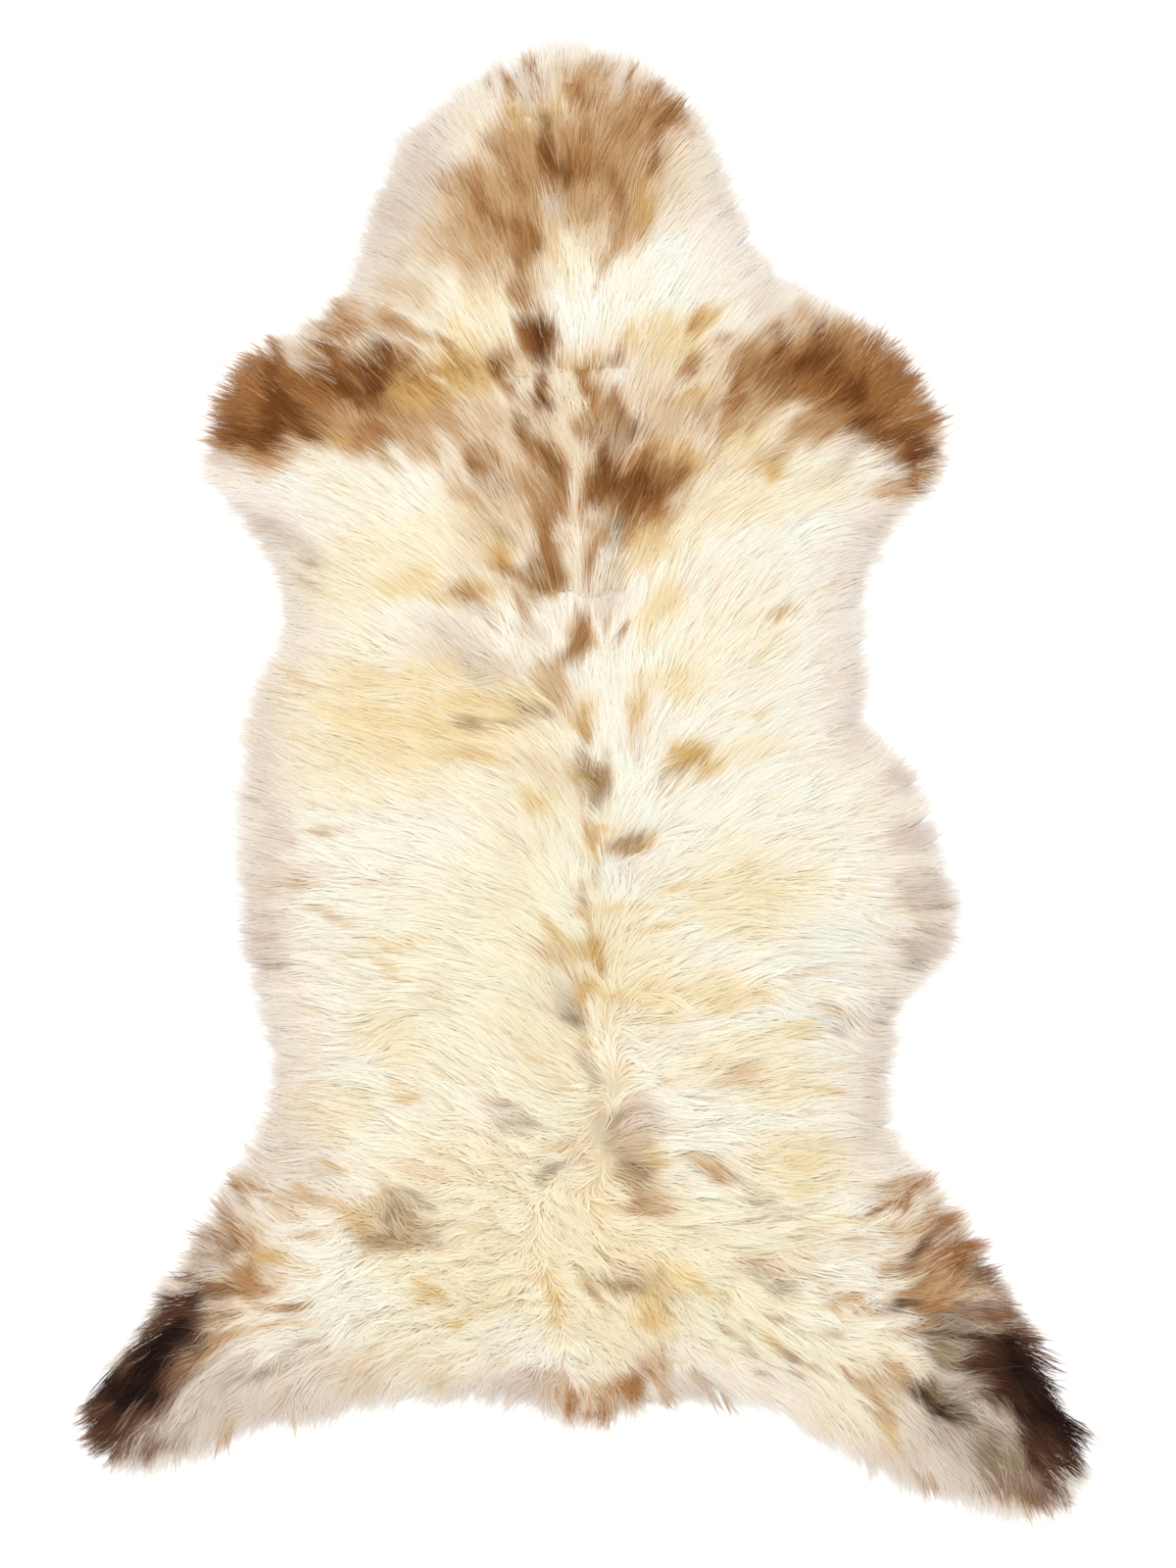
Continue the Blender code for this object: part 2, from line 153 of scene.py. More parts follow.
# The markings on the chart, painted in this order and divided by commas. Each has an oval's middle,
# half its width and length, its turn in degrees counterclockwise, its colour and how strongly it
# covers. Most are the wool's own colours; the thin lines at the neck and nape creases and down the
# spine are painted shade, and two white ovals beside the spine are painted highlights.
MARKINGS = {
    "the pale ground": """
    400 740 170 80 0 butter 0.5, 430 762 100 22 5 yellow 0.3, 400 692 110 16 8 yellow 0.35,
    480 668 60 28 -30 blush 0.5, 560 900 80 160 0 cream 0.8, 480 1000 120 120 0 cream 0.6,
    640 1000 60 60 30 butter 0.6, 760 900 90 50 10 cream 0.6, 763 902 50 22 5 yellow 0.25,
    700 1010 80 26 8 butter 0.6, 780 1075 90 30 0 butter 0.55, 820 1180 60 24 0 butter 0.6,
    810 1110 40 16 0 butter 0.5, 640 1250 90 60 -20 butter 0.6, 480 1200 110 60 0 butter 0.45,
    500 1290 110 60 0 cream 0.9, 640 1340 60 60 -30 butter 0.6, 760 1330 80 50 -20 cream 0.9,
    880 1420 60 70 -20 cream 0.8, 420 1400 90 50 0 cream 0.8, 300 1180 50 60 0 blush 0.35,
    330 1420 70 50 0 blush 0.35, 430 560 130 40 15 butter 0.45, 412 594 34 14 8 yellow 0.6,
    340 610 50 40 0 cream 0.7, 740 640 80 60 0 cream 0.5, 770 1250 90 50 0 cream 0.6,
    600 1130 70 80 0 cream 0.7, 560 1050 34 60 0 butter 0.4, 870 640 60 120 0 white 0.5,
    720 250 60 80 -20 white 0.5, 590 310 34 80 5 white 0.5, 250 510 55 26 10 white 0.8,
    880 545 45 30 0 white 0.8, 860 1030 60 70 0 white 0.5
    """,
    "the rim, where the skin shows pinkish through thin wool": """
    400 180 50 110 -20 blush 0.85, 335 330 26 40 0 blush 0.5, 262 590 24 50 0 mauve 0.55,
    256 760 20 60 0 blush 0.5, 244 880 18 60 0 blush 0.45, 262 985 24 36 0 mauve 0.55,
    272 1090 16 70 0 blush 0.5, 790 330 20 50 20 blush 0.4, 895 620 20 60 0 blush 0.4,
    885 700 18 50 0 blush 0.4, 900 1060 18 60 0 blush 0.45, 895 1140 16 40 0 blush 0.35,
    752 190 22 60 25 blush 0.5, 225 1240 22 40 -20 mauve 0.85, 300 1455 90 26 0 blush 0.4,
    850 1500 70 22 -25 blush 0.6, 740 1436 30 20 -20 mauve 0.65, 480 1436 34 20 20 mauve 0.55,
    700 1428 24 14 -20 mauve 0.9, 540 1440 20 16 0 mauve 0.5
    """,
    # Neck: the thin golden lines at 528 124 and 544 111 are painted shade of the neck crease.
    "the neck": """
    480 132 26 28 0 cream 0.5, 600 180 92 70 0 tan 0.85, 650 116 52 26 -8 tan 0.9,
    602 92 34 26 0 tan 0.6, 535 165 34 44 0 tan 0.8, 500 225 40 62 38 tan 0.8,
    535 262 22 44 20 tan 0.7, 462 250 28 34 40 tan 0.45, 535 90 26 22 0 blush 0.85,
    511 90 9 15 10 brown 0.85, 545 80 4 14 30 brown 0.7, 592 74 30 18 0 tan 0.7,
    588 100 15 13 0 brown 0.6, 612 66 8 14 0 brown 0.4, 632 84 14 12 0 blush 0.8,
    648 86 6 16 -10 brown 0.6, 545 117 30 5 0 butter 0.9, 528 124 16 3 -10 golden 0.8,
    544 111 26 2 4 golden 0.5, 690 122 15 18 -10 brown 0.85, 672 108 18 9 -20 brown 0.6,
    664 158 9 36 -22 brown 0.7, 640 128 16 12 0 brown 0.35, 562 162 9 40 14 umber 0.7,
    573 182 11 16 10 umber 0.75, 590 168 13 32 0 brown 0.65, 598 190 9 14 0 umber 0.35,
    622 205 7 15 0 umber 0.6, 612 186 16 20 0 brown 0.35, 652 214 12 24 -15 golden 0.5,
    628 226 20 22 0 tan 0.5, 616 268 6 18 0 tan 0.85, 622 246 14 16 0 tan 0.5,
    506 152 8 18 5 brown 0.5, 530 180 8 24 15 brown 0.4, 474 182 18 14 20 brown 0.45,
    452 190 5 14 20 brown 0.5, 496 214 9 34 45 brown 0.6, 514 236 9 26 35 brown 0.5,
    536 250 11 24 30 brown 0.7, 534 270 13 9 20 umber 0.35, 527 300 10 17 10 brown 0.6,
    546 284 10 6 10 golden 0.8, 558 214 10 16 10 blush 0.9, 585 262 24 40 0 cream 0.7,
    566 258 8 20 0 golden 0.3, 420 262 22 9 35 tan 0.4, 404 292 22 8 35 tan 0.4,
    432 300 20 16 40 tan 0.35, 492 308 26 20 0 yellow 0.4, 470 280 24 8 -40 tan 0.35,
    700 190 26 46 -20 cream 0.4
    """,
    # Nape: the thin golden, rust, brown and slate lines from 428 to 580 across, 378 to 391 down,
    # are painted shade of the nape crease.
    "the nape and the withers": """
    560 460 100 80 0 tan 0.22, 660 440 130 90 20 tan 0.18, 470 356 40 26 0 yellow 0.6,
    480 372 24 14 0 golden 0.5, 549 347 19 21 0 umber 0.97, 548 346 8 8 0 black 0.2,
    528 350 8 15 10 brown 0.75, 546 372 12 8 0 slate 0.6, 510 372 14 13 35 brown 0.9,
    508 374 7 8 35 umber 0.6, 516 395 9 7 20 brown 0.7, 552 403 10 14 15 umber 0.92,
    452 354 7 20 50 brown 0.85, 404 334 24 10 -40 brown 0.5, 428 340 20 8 -40 tan 0.6,
    418 374 10 12 20 brown 0.6, 458 378 20 5 14 golden 0.9, 428 384 22 3 6 rust 0.7,
    466 381 12 2 14 brown 0.7, 498 385 26 3 -6 golden 0.6, 520 391 18 2 -6 slate 0.5,
    580 379 26 3 4 golden 0.55, 640 386 15 13 0 white 0.8, 623 372 6 10 -20 brown 0.9,
    603 394 9 20 0 brown 0.8, 597 418 8 18 0 brown 0.8, 612 410 10 26 0 tan 0.7,
    628 420 8 13 10 brown 0.85, 640 437 13 8 -20 umber 0.75, 620 444 24 16 0 grey 0.6,
    612 440 20 16 0 brown 0.35, 585 440 9 60 0 cream 0.6, 490 440 34 24 0 tan 0.3,
    492 470 13 16 20 brown 0.85, 488 478 8 7 30 umber 0.5, 500 498 22 8 -45 slate 0.25,
    478 500 24 8 -40 tan 0.4, 536 430 11 10 20 umber 0.75, 541 450 6 16 30 umber 0.65,
    556 466 15 17 25 brown 0.62, 567 478 11 15 20 umber 0.7, 573 502 8 22 0 brown 0.6,
    540 503 15 15 20 brown 0.5, 515 540 40 50 -20 tan 0.25, 522 500 14 10 -30 tan 0.5,
    559 530 12 34 0 brown 0.45, 563 562 14 30 5 brown 0.62, 562 590 15 12 10 umber 0.35,
    546 596 24 10 -25 brown 0.5, 516 572 12 16 45 golden 0.85, 524 586 16 7 -35 brown 0.6,
    532 614 18 9 -35 brown 0.3, 548 640 16 12 -40 blush 0.7, 514 548 20 5 -40 moss 0.25,
    480 606 34 10 0 golden 0.75, 476 609 22 5 -8 brown 0.55, 488 622 14 6 -20 slate 0.2,
    668 462 20 15 0 golden 0.85, 658 466 18 12 0 rust 0.4, 702 470 18 12 0 golden 0.7,
    646 500 40 34 0 brown 0.7, 618 470 12 15 0 umber 0.95, 612 502 11 22 -10 umber 0.7,
    646 500 24 22 0 umber 0.85, 664 486 12 8 0 umber 0.5, 640 524 14 8 0 umber 0.6,
    690 490 13 15 -30 brown 0.85, 682 512 8 8 -30 blush 0.6, 652 540 26 15 40 brown 0.6,
    676 530 14 16 -30 tan 0.6, 621 548 10 14 -20 slate 0.4, 658 528 24 14 -35 brown 0.5,
    630 540 10 8 30 moss 0.6, 606 560 5 28 0 brown 0.5, 602 540 10 40 0 tan 0.45,
    670 560 22 22 -30 golden 0.45, 638 588 6 3 30 moss 0.8, 700 545 20 20 0 butter 0.6,
    672 618 22 14 20 yellow 0.55, 604 634 9 12 0 brown 0.7, 594 650 14 17 -25 brown 0.75,
    580 668 17 12 20 brown 0.75, 584 664 11 8 20 umber 0.35, 639 646 6 12 -10 brown 0.7,
    612 608 18 22 0 blush 0.5, 574 692 10 16 30 tan 0.6, 640 345 14 7 0 golden 0.6,
    688 356 34 26 0 yellow 0.55, 712 336 16 11 40 golden 0.85, 708 340 9 4 40 brown 0.7,
    741 347 13 7 20 rust 0.55, 697 375 7 12 -30 brown 0.7, 724 328 14 8 20 golden 0.6,
    704 410 16 8 30 golden 0.8, 716 424 9 9 -30 brown 0.5, 756 392 28 42 -30 tan 0.55,
    746 402 10 30 -25 brown 0.7, 739 438 5 18 -30 brown 0.7, 752 450 30 20 -30 yellow 0.5,
    690 430 26 16 0 tan 0.25
    """,
    "the shoulders and the forelegs": """
    262 412 58 54 0 brown 0.95, 345 388 74 30 4 brown 0.92, 384 432 80 24 8 tan 0.85,
    350 328 30 16 20 tan 0.8, 346 334 18 12 20 brown 0.5, 278 398 9 46 5 umber 0.85,
    286 424 18 22 10 umber 0.85, 280 446 44 10 8 umber 0.75, 240 438 18 16 0 umber 0.55,
    246 378 14 16 -20 brown 0.5, 250 462 38 9 0 tan 0.85, 330 355 13 10 0 umber 0.8,
    382 376 22 24 0 umber 0.9, 344 390 32 16 0 umber 0.6, 366 386 4 9 0 blush 0.6,
    372 408 26 8 -20 umber 0.5, 330 420 24 12 20 brown 0.4, 301 370 13 14 0 blush 0.9,
    376 443 20 11 0 rust 0.6, 344 444 16 7 0 golden 0.5, 432 404 46 15 6 golden 0.85,
    440 398 30 6 6 rust 0.35, 484 394 26 8 0 golden 0.6, 424 448 34 12 -40 tan 0.6,
    454 428 26 9 -45 tan 0.6, 390 462 26 8 -35 tan 0.5, 225 470 22 8 0 blush 0.8,
    264 532 34 10 -14 mauve 0.9, 310 548 24 8 -14 mauve 0.5, 318 568 11 9 0 moss 0.45,
    314 590 9 6 0 moss 0.5, 362 496 40 24 -20 cream 0.4, 828 334 34 16 -10 tan 0.7,
    880 350 44 18 -28 tan 0.8, 922 380 26 34 -40 tan 0.8, 958 424 20 30 0 tan 0.7,
    832 380 66 34 -12 brown 0.92, 884 412 60 36 -40 brown 0.9, 884 362 40 16 -30 brown 0.75,
    920 396 22 26 -40 brown 0.75, 944 436 20 26 0 brown 0.6, 820 372 18 13 0 umber 0.92,
    790 352 9 13 0 umber 0.7, 796 386 16 16 0 umber 0.5, 840 345 12 20 -10 umber 0.8,
    846 376 14 12 0 umber 0.7, 872 400 17 16 0 umber 0.95, 880 360 11 18 -10 brown 0.85,
    904 372 14 24 0 brown 0.8, 862 356 6 16 -10 tan 0.6, 888 432 28 14 -25 umber 0.75,
    932 462 16 22 0 umber 0.95, 906 446 18 13 0 umber 0.75, 936 490 18 10 0 brown 0.85,
    904 500 22 9 10 tan 0.8, 950 436 16 20 -20 brown 0.6, 958 460 8 20 0 tan 0.6,
    836 428 42 12 20 tan 0.7, 850 436 30 7 20 brown 0.6, 818 452 44 12 25 tan 0.55,
    868 468 44 12 32 blush 0.7, 788 478 13 8 0 golden 0.75, 770 420 34 20 30 tan 0.45,
    884 342 22 8 -20 tan 0.5, 772 368 12 26 -10 brown 0.5, 792 627 14 7 10 tan 0.55,
    810 500 60 26 10 butter 0.4, 740 508 50 24 10 butter 0.5, 905 545 26 26 0 blush 0.5
    """,
    # Ribs: the thin tan and slate lines near 600 across, 880 to 1105 down, are painted shade of the
    # spine's parting.
    # Ribs: the white ovals at 574 905 and 626 1064, beside that line, are painted highlights.
    "the ribs": """
    470 735 110 22 2 butter 0.7, 500 715 52 12 0 yellow 0.6, 450 738 74 9 0 yellow 0.5,
    366 728 40 9 0 yellow 0.4, 484 768 42 8 -6 golden 0.35, 474 733 16 3 -4 moss 0.6,
    538 720 16 9 -10 yellow 0.7, 300 692 30 4 -14 golden 0.35, 548 722 18 5 -25 slate 0.6,
    534 729 13 4 -10 moss 0.5, 562 706 18 10 -40 tan 0.5, 560 682 20 8 -30 tan 0.6,
    594 738 7 20 25 brown 0.45, 588 728 10 14 20 golden 0.5, 604 766 5 24 10 moss 0.6,
    606 795 16 17 0 moss 0.75, 592 794 10 8 0 golden 0.5, 608 790 10 12 0 brown 0.35,
    610 806 7 10 0 slate 0.45, 648 740 14 20 -15 tan 0.18, 646 725 10 12 0 golden 0.3,
    690 700 26 14 0 yellow 0.45, 654 696 20 10 0 yellow 0.4, 702 769 23 19 0 golden 0.8,
    699 766 14 11 0 golden 0.3, 724 781 16 9 0 golden 0.6, 690 786 14 4 40 slate 0.45,
    760 768 50 14 0 yellow 0.22, 641 862 18 11 20 moss 0.6, 638 864 15 8 20 brown 0.4,
    656 858 14 7 20 golden 0.5, 619 843 9 8 -30 golden 0.75, 606 862 5 17 0 golden 0.7,
    608 848 7 9 0 tan 0.5, 609 892 3 16 0 slate 0.5, 600 906 4 10 0 slate 0.3,
    604 968 7 22 18 golden 0.8, 607 985 5 9 18 rust 0.5, 594 962 8 14 0 golden 0.5,
    570 964 15 14 0 golden 0.35, 556 950 6 12 0 golden 0.4, 552 975 20 9 -20 tan 0.3,
    574 1012 20 18 20 blush 0.7, 580 1018 10 5 35 slate 0.5, 598 1014 8 16 10 golden 0.6,
    625 1024 18 4 -25 golden 0.6, 581 1038 14 8 0 slate 0.75, 588 1034 8 6 0 moss 0.5,
    540 782 28 8 -15 tan 0.15, 546 812 20 9 -10 golden 0.4, 572 786 16 18 -30 tan 0.15,
    394 985 18 3 -20 golden 0.6, 342 930 22 3 8 tan 0.55, 300 910 30 5 0 tan 0.45,
    272 950 20 3 -5 tan 0.6, 284 988 16 3 -5 slate 0.6, 330 851 18 2 -10 tan 0.6,
    264 818 16 3 -25 slate 0.6, 400 962 32 4 4 golden 0.3, 260 950 24 50 0 mauve 0.6,
    282 850 16 44 0 blush 0.5, 306 900 34 12 0 blush 0.4, 640 930 26 4 0 golden 0.45,
    694 908 26 3 18 golden 0.4, 672 945 30 4 8 golden 0.35, 760 932 60 26 0 butter 0.45,
    735 1012 64 14 4 yellow 0.28, 820 1046 22 8 0 yellow 0.5, 778 664 3 18 -35 golden 0.4,
    765 726 20 3 8 golden 0.4, 928 790 20 14 0 mauve 0.85, 940 850 28 15 0 mauve 0.9,
    948 905 30 22 0 mauve 0.95, 960 916 16 6 0 slate 0.4, 944 941 15 4 0 moss 0.5,
    952 964 34 13 8 mauve 0.95, 937 976 8 6 0 slate 0.95, 934 977 4 4 0 umber 0.4,
    970 948 22 14 0 mauve 0.8, 922 980 16 3 0 slate 0.5, 955 882 16 4 0 slate 0.3,
    975 900 14 30 0 mauve 0.5, 914 1028 11 5 10 slate 0.75, 906 1046 14 4 0 slate 0.4,
    868 1048 9 4 20 slate 0.65, 856 1032 9 3 0 tan 0.6, 606 880 4 40 0 tan 0.4,
    600 932 5 28 0 tan 0.4, 596 1062 4 42 0 tan 0.35, 598 1105 4 26 0 slate 0.35,
    574 905 16 50 0 white 0.35, 626 1064 20 34 0 white 0.35, 626 890 22 22 0 white 0.6,
    640 826 26 13 30 white 0.5, 625 758 14 14 0 white 0.5
    """,
    "the loin": """
    640 1142 42 24 0 blush 0.7, 630 1128 13 4 -22 slate 0.7, 618 1143 12 4 40 slate 0.27,
    620 1163 12 5 0 moss 0.31, 650 1184 26 32 8 olive 0.6, 632 1175 18 4 -12 moss 0.39,
    672 1183 15 10 0 golden 0.4, 642 1198 22 7 -5 moss 0.55, 640 1188 24 4 -12 slate 0.6,
    646 1214 16 4 -20 moss 0.31, 658 1222 20 9 -10 tan 0.3, 655 1227 15 3 -10 rust 0.35,
    730 1188 24 8 0 tan 0.25, 736 1195 18 3 -12 brown 0.35, 766 1082 22 10 0 tan 0.35,
    742 1100 16 8 20 tan 0.2, 600 1083 4 16 0 slate 0.35, 597 1128 5 14 0 mauve 0.5,
    612 1066 20 3 -18 golden 0.5, 790 1232 30 3 12 moss 0.31, 776 1219 22 3 -8 moss 0.35,
    812 1206 22 8 0 yellow 0.4, 830 1256 28 3 5 tan 0.55, 776 1292 24 4 -8 brown 0.39,
    786 1304 28 3 -4 slate 0.35, 800 1282 44 14 0 tan 0.1, 860 1328 22 3 -5 tan 0.6,
    880 1268 28 8 0 tan 0.12, 902 1214 22 4 8 moss 0.39, 884 1238 32 4 8 golden 0.45,
    818 1182 20 12 0 yellow 0.35, 846 1116 12 3 10 golden 0.6, 515 1130 24 13 -30 blush 0.4,
    504 1124 20 4 -28 slate 0.27, 532 1148 14 4 -35 slate 0.35, 500 1150 20 3 -18 tan 0.5,
    567 1192 15 5 15 slate 0.43, 574 1172 22 6 0 tan 0.3, 416 1113 18 3 -18 golden 0.6,
    404 1092 12 3 -25 golden 0.4, 540 1068 22 3 -25 golden 0.4, 400 1240 48 26 -8 olive 0.42,
    376 1238 18 13 0 golden 0.4, 402 1264 30 8 -5 olive 0.6, 413 1235 14 4 35 moss 0.66,
    432 1220 20 3 -8 slate 0.55, 438 1257 11 3 -30 umber 0.55, 410 1257 12 4 0 moss 0.66,
    384 1256 26 4 -10 moss 0.47, 426 1244 12 8 -40 moss 0.27, 430 1190 32 12 0 tan 0.15,
    342 1220 32 3 -5 golden 0.6, 308 1223 24 6 0 tan 0.45, 318 1266 22 3 0 brown 0.31,
    340 1180 30 3 0 golden 0.4, 330 1130 60 26 0 butter 0.5, 395 1060 34 26 0 butter 0.6,
    300 1290 30 3 -4 golden 0.5
    """,
    "the rump and the tail": """
    500 1310 110 40 0 butter 0.3, 600 1270 60 30 0 butter 0.4, 660 1300 26 17 -30 olive 0.5,
    646 1303 13 5 -30 moss 0.58, 632 1299 16 4 -30 moss 0.39, 666 1330 15 28 10 yellow 0.8,
    668 1344 9 15 10 golden 0.35, 612 1316 15 8 -20 olive 0.5, 617 1322 11 5 -30 moss 0.35,
    700 1305 34 12 -25 yellow 0.5, 655 1393 15 10 -30 tan 0.7, 660 1403 11 7 -45 brown 0.66,
    674 1400 11 22 30 tan 0.5, 690 1424 13 10 -20 tan 0.75, 697 1431 10 6 20 rust 0.5,
    720 1412 22 14 -20 blush 0.7, 736 1430 20 15 -35 mauve 0.65, 746 1440 11 8 -40 slate 0.39,
    628 1422 24 19 0 tan 0.75, 634 1418 13 14 -10 rust 0.65, 640 1408 10 7 -20 brown 0.39,
    606 1445 20 9 0 rust 0.7, 577 1430 9 19 0 rust 0.75, 596 1424 12 18 0 golden 0.35,
    562 1420 13 20 0 tan 0.55, 536 1414 32 17 0 mauve 0.65, 500 1430 15 12 30 mauve 0.6,
    498 1440 11 5 30 slate 0.47, 452 1412 8 13 -30 golden 0.75, 440 1404 20 10 -30 tan 0.2,
    370 1408 18 14 -40 tan 0.25, 467 1350 16 5 0 golden 0.7, 440 1311 16 3 -10 golden 0.75,
    556 1308 12 3 -30 golden 0.65, 575 1330 10 9 -30 golden 0.4, 500 1336 30 3 4 golden 0.4,
    358 1338 5 4 0 moss 0.74, 326 1360 11 3 15 moss 0.62, 300 1325 22 4 -5 moss 0.39,
    312 1340 18 3 4 tan 0.45, 376 1372 11 3 40 golden 0.5, 744 1350 17 3 -25 moss 0.43,
    760 1376 13 3 -40 moss 0.39, 809 1380 11 3 -40 umber 0.7, 776 1405 8 4 -50 moss 0.66,
    857 1352 8 4 -15 moss 0.74, 860 1354 5 3 -15 brown 0.62, 802 1335 18 3 -25 moss 0.43,
    724 1311 15 3 -20 golden 0.5, 836 1398 11 3 -40 brown 0.39, 790 1361 14 3 -35 golden 0.5,
    880 1330 24 4 0 tan 0.3
    """,
    "the left hind leg": """
    200 1445 70 50 20 grey 0.5, 240 1425 40 50 0 blush 0.4, 310 1410 44 36 0 blush 0.2,
    225 1285 46 60 -25 tan 0.28, 250 1203 26 12 -20 tan 0.5, 258 1214 22 4 -24 brown 0.5,
    226 1250 18 24 -20 tan 0.4, 236 1245 8 19 15 brown 0.4, 249 1258 6 22 25 rust 0.4,
    214 1270 24 18 -20 sable 0.16, 206 1284 22 9 -25 grey 0.6, 270 1285 17 10 0 golden 0.75,
    244 1306 36 14 10 tan 0.7, 252 1302 20 8 0 rust 0.5, 238 1316 26 7 15 brown 0.45,
    194 1302 20 9 -35 sable 0.4, 174 1288 14 3 -30 slate 0.9, 200 1324 40 15 10 sable 0.22,
    205 1322 32 8 10 brown 0.4, 292 1326 26 4 0 brown 0.4, 290 1342 26 3 -5 tan 0.5,
    184 1334 12 17 -20 sable 0.85, 172 1346 15 15 0 sable 0.85, 214 1350 36 10 20 brown 0.25,
    236 1364 40 7 22 tan 0.3, 210 1376 36 8 35 brown 0.2, 148 1368 28 14 45 sable 0.6,
    130 1384 24 10 45 slate 0.6, 152 1398 68 31 50 sable 0.93, 152 1395 56 18 50 black 0.98,
    116 1424 30 17 50 black 0.95, 98 1444 16 16 40 sable 0.85, 118 1462 44 22 30 sable 0.42,
    128 1450 36 9 45 sable 0.6, 190 1398 40 7 42 brown 0.25, 140 1482 46 15 10 sable 0.4,
    100 1456 18 15 0 sable 0.7, 112 1482 18 12 20 sable 0.35, 176 1424 30 3 42 slate 0.7,
    208 1396 24 3 38 slate 0.6, 168 1458 30 3 28 slate 0.5, 280 1386 36 4 30 slate 0.4,
    250 1404 30 3 36 slate 0.4, 218 1484 5 17 -35 brown 0.8, 228 1460 8 20 -30 tan 0.45,
    191 1465 3 3 0 moss 0.95, 268 1450 14 24 -30 blush 0.6
    """,
    "the right hind leg": """
    1000 1440 62 70 0 grey 0.72, 930 1440 40 60 20 blush 0.35, 940 1500 60 28 -10 blush 0.7,
    930 1211 30 13 15 tan 0.75, 916 1222 28 4 15 brown 0.8, 944 1216 14 9 0 rust 0.5,
    956 1242 44 12 10 tan 0.65, 974 1246 16 8 0 rust 0.45, 962 1280 50 26 0 tan 0.6,
    1006 1310 15 80 33 sable 0.25, 940 1268 24 5 30 sable 0.65, 972 1280 28 12 10 rust 0.55,
    992 1270 16 9 0 brown 0.5, 928 1276 28 3 18 umber 0.45, 970 1314 56 18 6 tan 0.65,
    1006 1304 13 10 -30 sable 0.55, 998 1298 15 5 -20 slate 0.5, 932 1308 28 4 20 brown 0.65,
    966 1312 40 6 10 rust 0.35, 920 1327 17 3 5 sable 0.65, 954 1326 30 4 4 brown 0.55,
    990 1340 46 14 0 sable 0.3, 990 1339 30 4 -5 slate 0.8, 1022 1342 16 6 0 rust 0.6,
    930 1345 32 4 0 brown 0.5, 985 1358 56 12 -6 slate 0.6, 970 1358 34 3 -5 sable 0.65,
    1012 1368 38 5 -10 sable 0.8, 960 1376 24 17 -20 slate 0.65, 956 1380 16 8 -30 moss 0.5,
    1030 1394 48 22 -35 sable 0.96, 1004 1400 26 6 -25 sable 0.8, 1046 1392 30 16 -42 black 0.9,
    1052 1430 52 30 -48 sable 0.95, 1052 1424 48 20 -50 black 0.95, 1070 1394 26 52 35 sable 0.88,
    1070 1452 26 48 32 black 0.98, 1088 1478 18 24 20 black 0.95, 1060 1482 24 26 30 sable 0.85,
    1084 1506 22 13 20 sable 0.85, 1100 1494 10 18 0 sable 0.8, 957 1426 36 17 -35 slate 0.85,
    958 1427 29 12 -35 black 0.98, 1018 1404 44 20 -35 sable 0.9, 1046 1400 34 14 -45 black 0.85,
    948 1416 13 8 -45 moss 0.85, 978 1432 15 9 -40 slate 0.85, 1004 1416 32 3 -40 slate 0.7,
    1020 1440 26 3 -45 slate 0.6, 1010 1478 14 28 28 slate 0.9, 1016 1498 13 15 20 moss 0.5,
    978 1476 22 28 30 grey 0.5, 1034 1502 12 20 25 slate 0.6, 1026 1524 36 15 -15 sable 0.3,
    1046 1540 28 11 -8 brown 0.45, 1070 1522 26 15 0 sable 0.42, 912 1400 18 18 -30 tan 0.45,
    892 1432 10 36 30 tan 0.45, 902 1462 8 26 20 golden 0.35, 946 1520 9 10 30 brown 0.45,
    846 1490 44 14 -35 mauve 0.6, 872 1396 26 4 -25 brown 0.4, 880 1420 20 3 -42 tan 0.6
    """,
}

# Where the wool is crimped into small locks: the middle, half the width and length on the chart
CRIMPED = ((520, 1320, 150, 80), (640, 1340, 90, 70), (400, 1240, 60, 40), (560, 1180, 60, 60))

# Creases across the fleece, where the wool of the near side stops, as points of the chart
CREASES = (
    ((345, 407), (387, 405), (441, 385), (468, 380), (521, 390), (600, 380), (642, 378)),
    ((512, 118), (545, 121), (574, 118)),
    ((553, 608), (582, 604), (600, 612), (640, 603)),
)

# The grid that the fields of height and flow are kept on, in metres
GRID_STEP = 0.003
GRID_HALF_X = 0.42
GRID_HALF_Y = 0.60
ROW_RISE = 0.866

# The skin and the underwool: heights and distances in metres
SKIN_THICKNESS = 0.002
SKIN_PITCH = 0.012
UNDERWOOL_PITCH = 0.0085
UNDERWOOL_SCALE = 0.9985
UNDERWOOL_DEPTH = 0.0028
UNDERWOOL_LEAST = 0.003
UNDERWOOL_LUMP = 0.0012
UNDERWOOL_LUMP_SIZE = 0.012
UNDERWOOL_RIM = 0.012
FULL_WOOL = 0.03

# The height of the wool beyond the skin's edge, in metres
RIM_HEIGHT = 0.0135
TIP_HEIGHT = 0.0015
RIM_BEND = 0.8
RIM_BLEND = 0.004
HEIGHT_UNKNOWN = 0.014

# How far a mark of the combing reaches in metres, and how strongly the rim turns the wool outward:
# least at the hind legs, and more from there on
COMB_REACH = 0.012
LEG_PULL = 0.12
BODY_PULL = 0.28
PARTING_SPREAD = 45
# Waves in the flow: size in metres, seed, degrees over the whole pelt and more at the rump
FLOW_NOISE = ((0.055, 21, 5, 5), (0.021, 22, 3, 5))

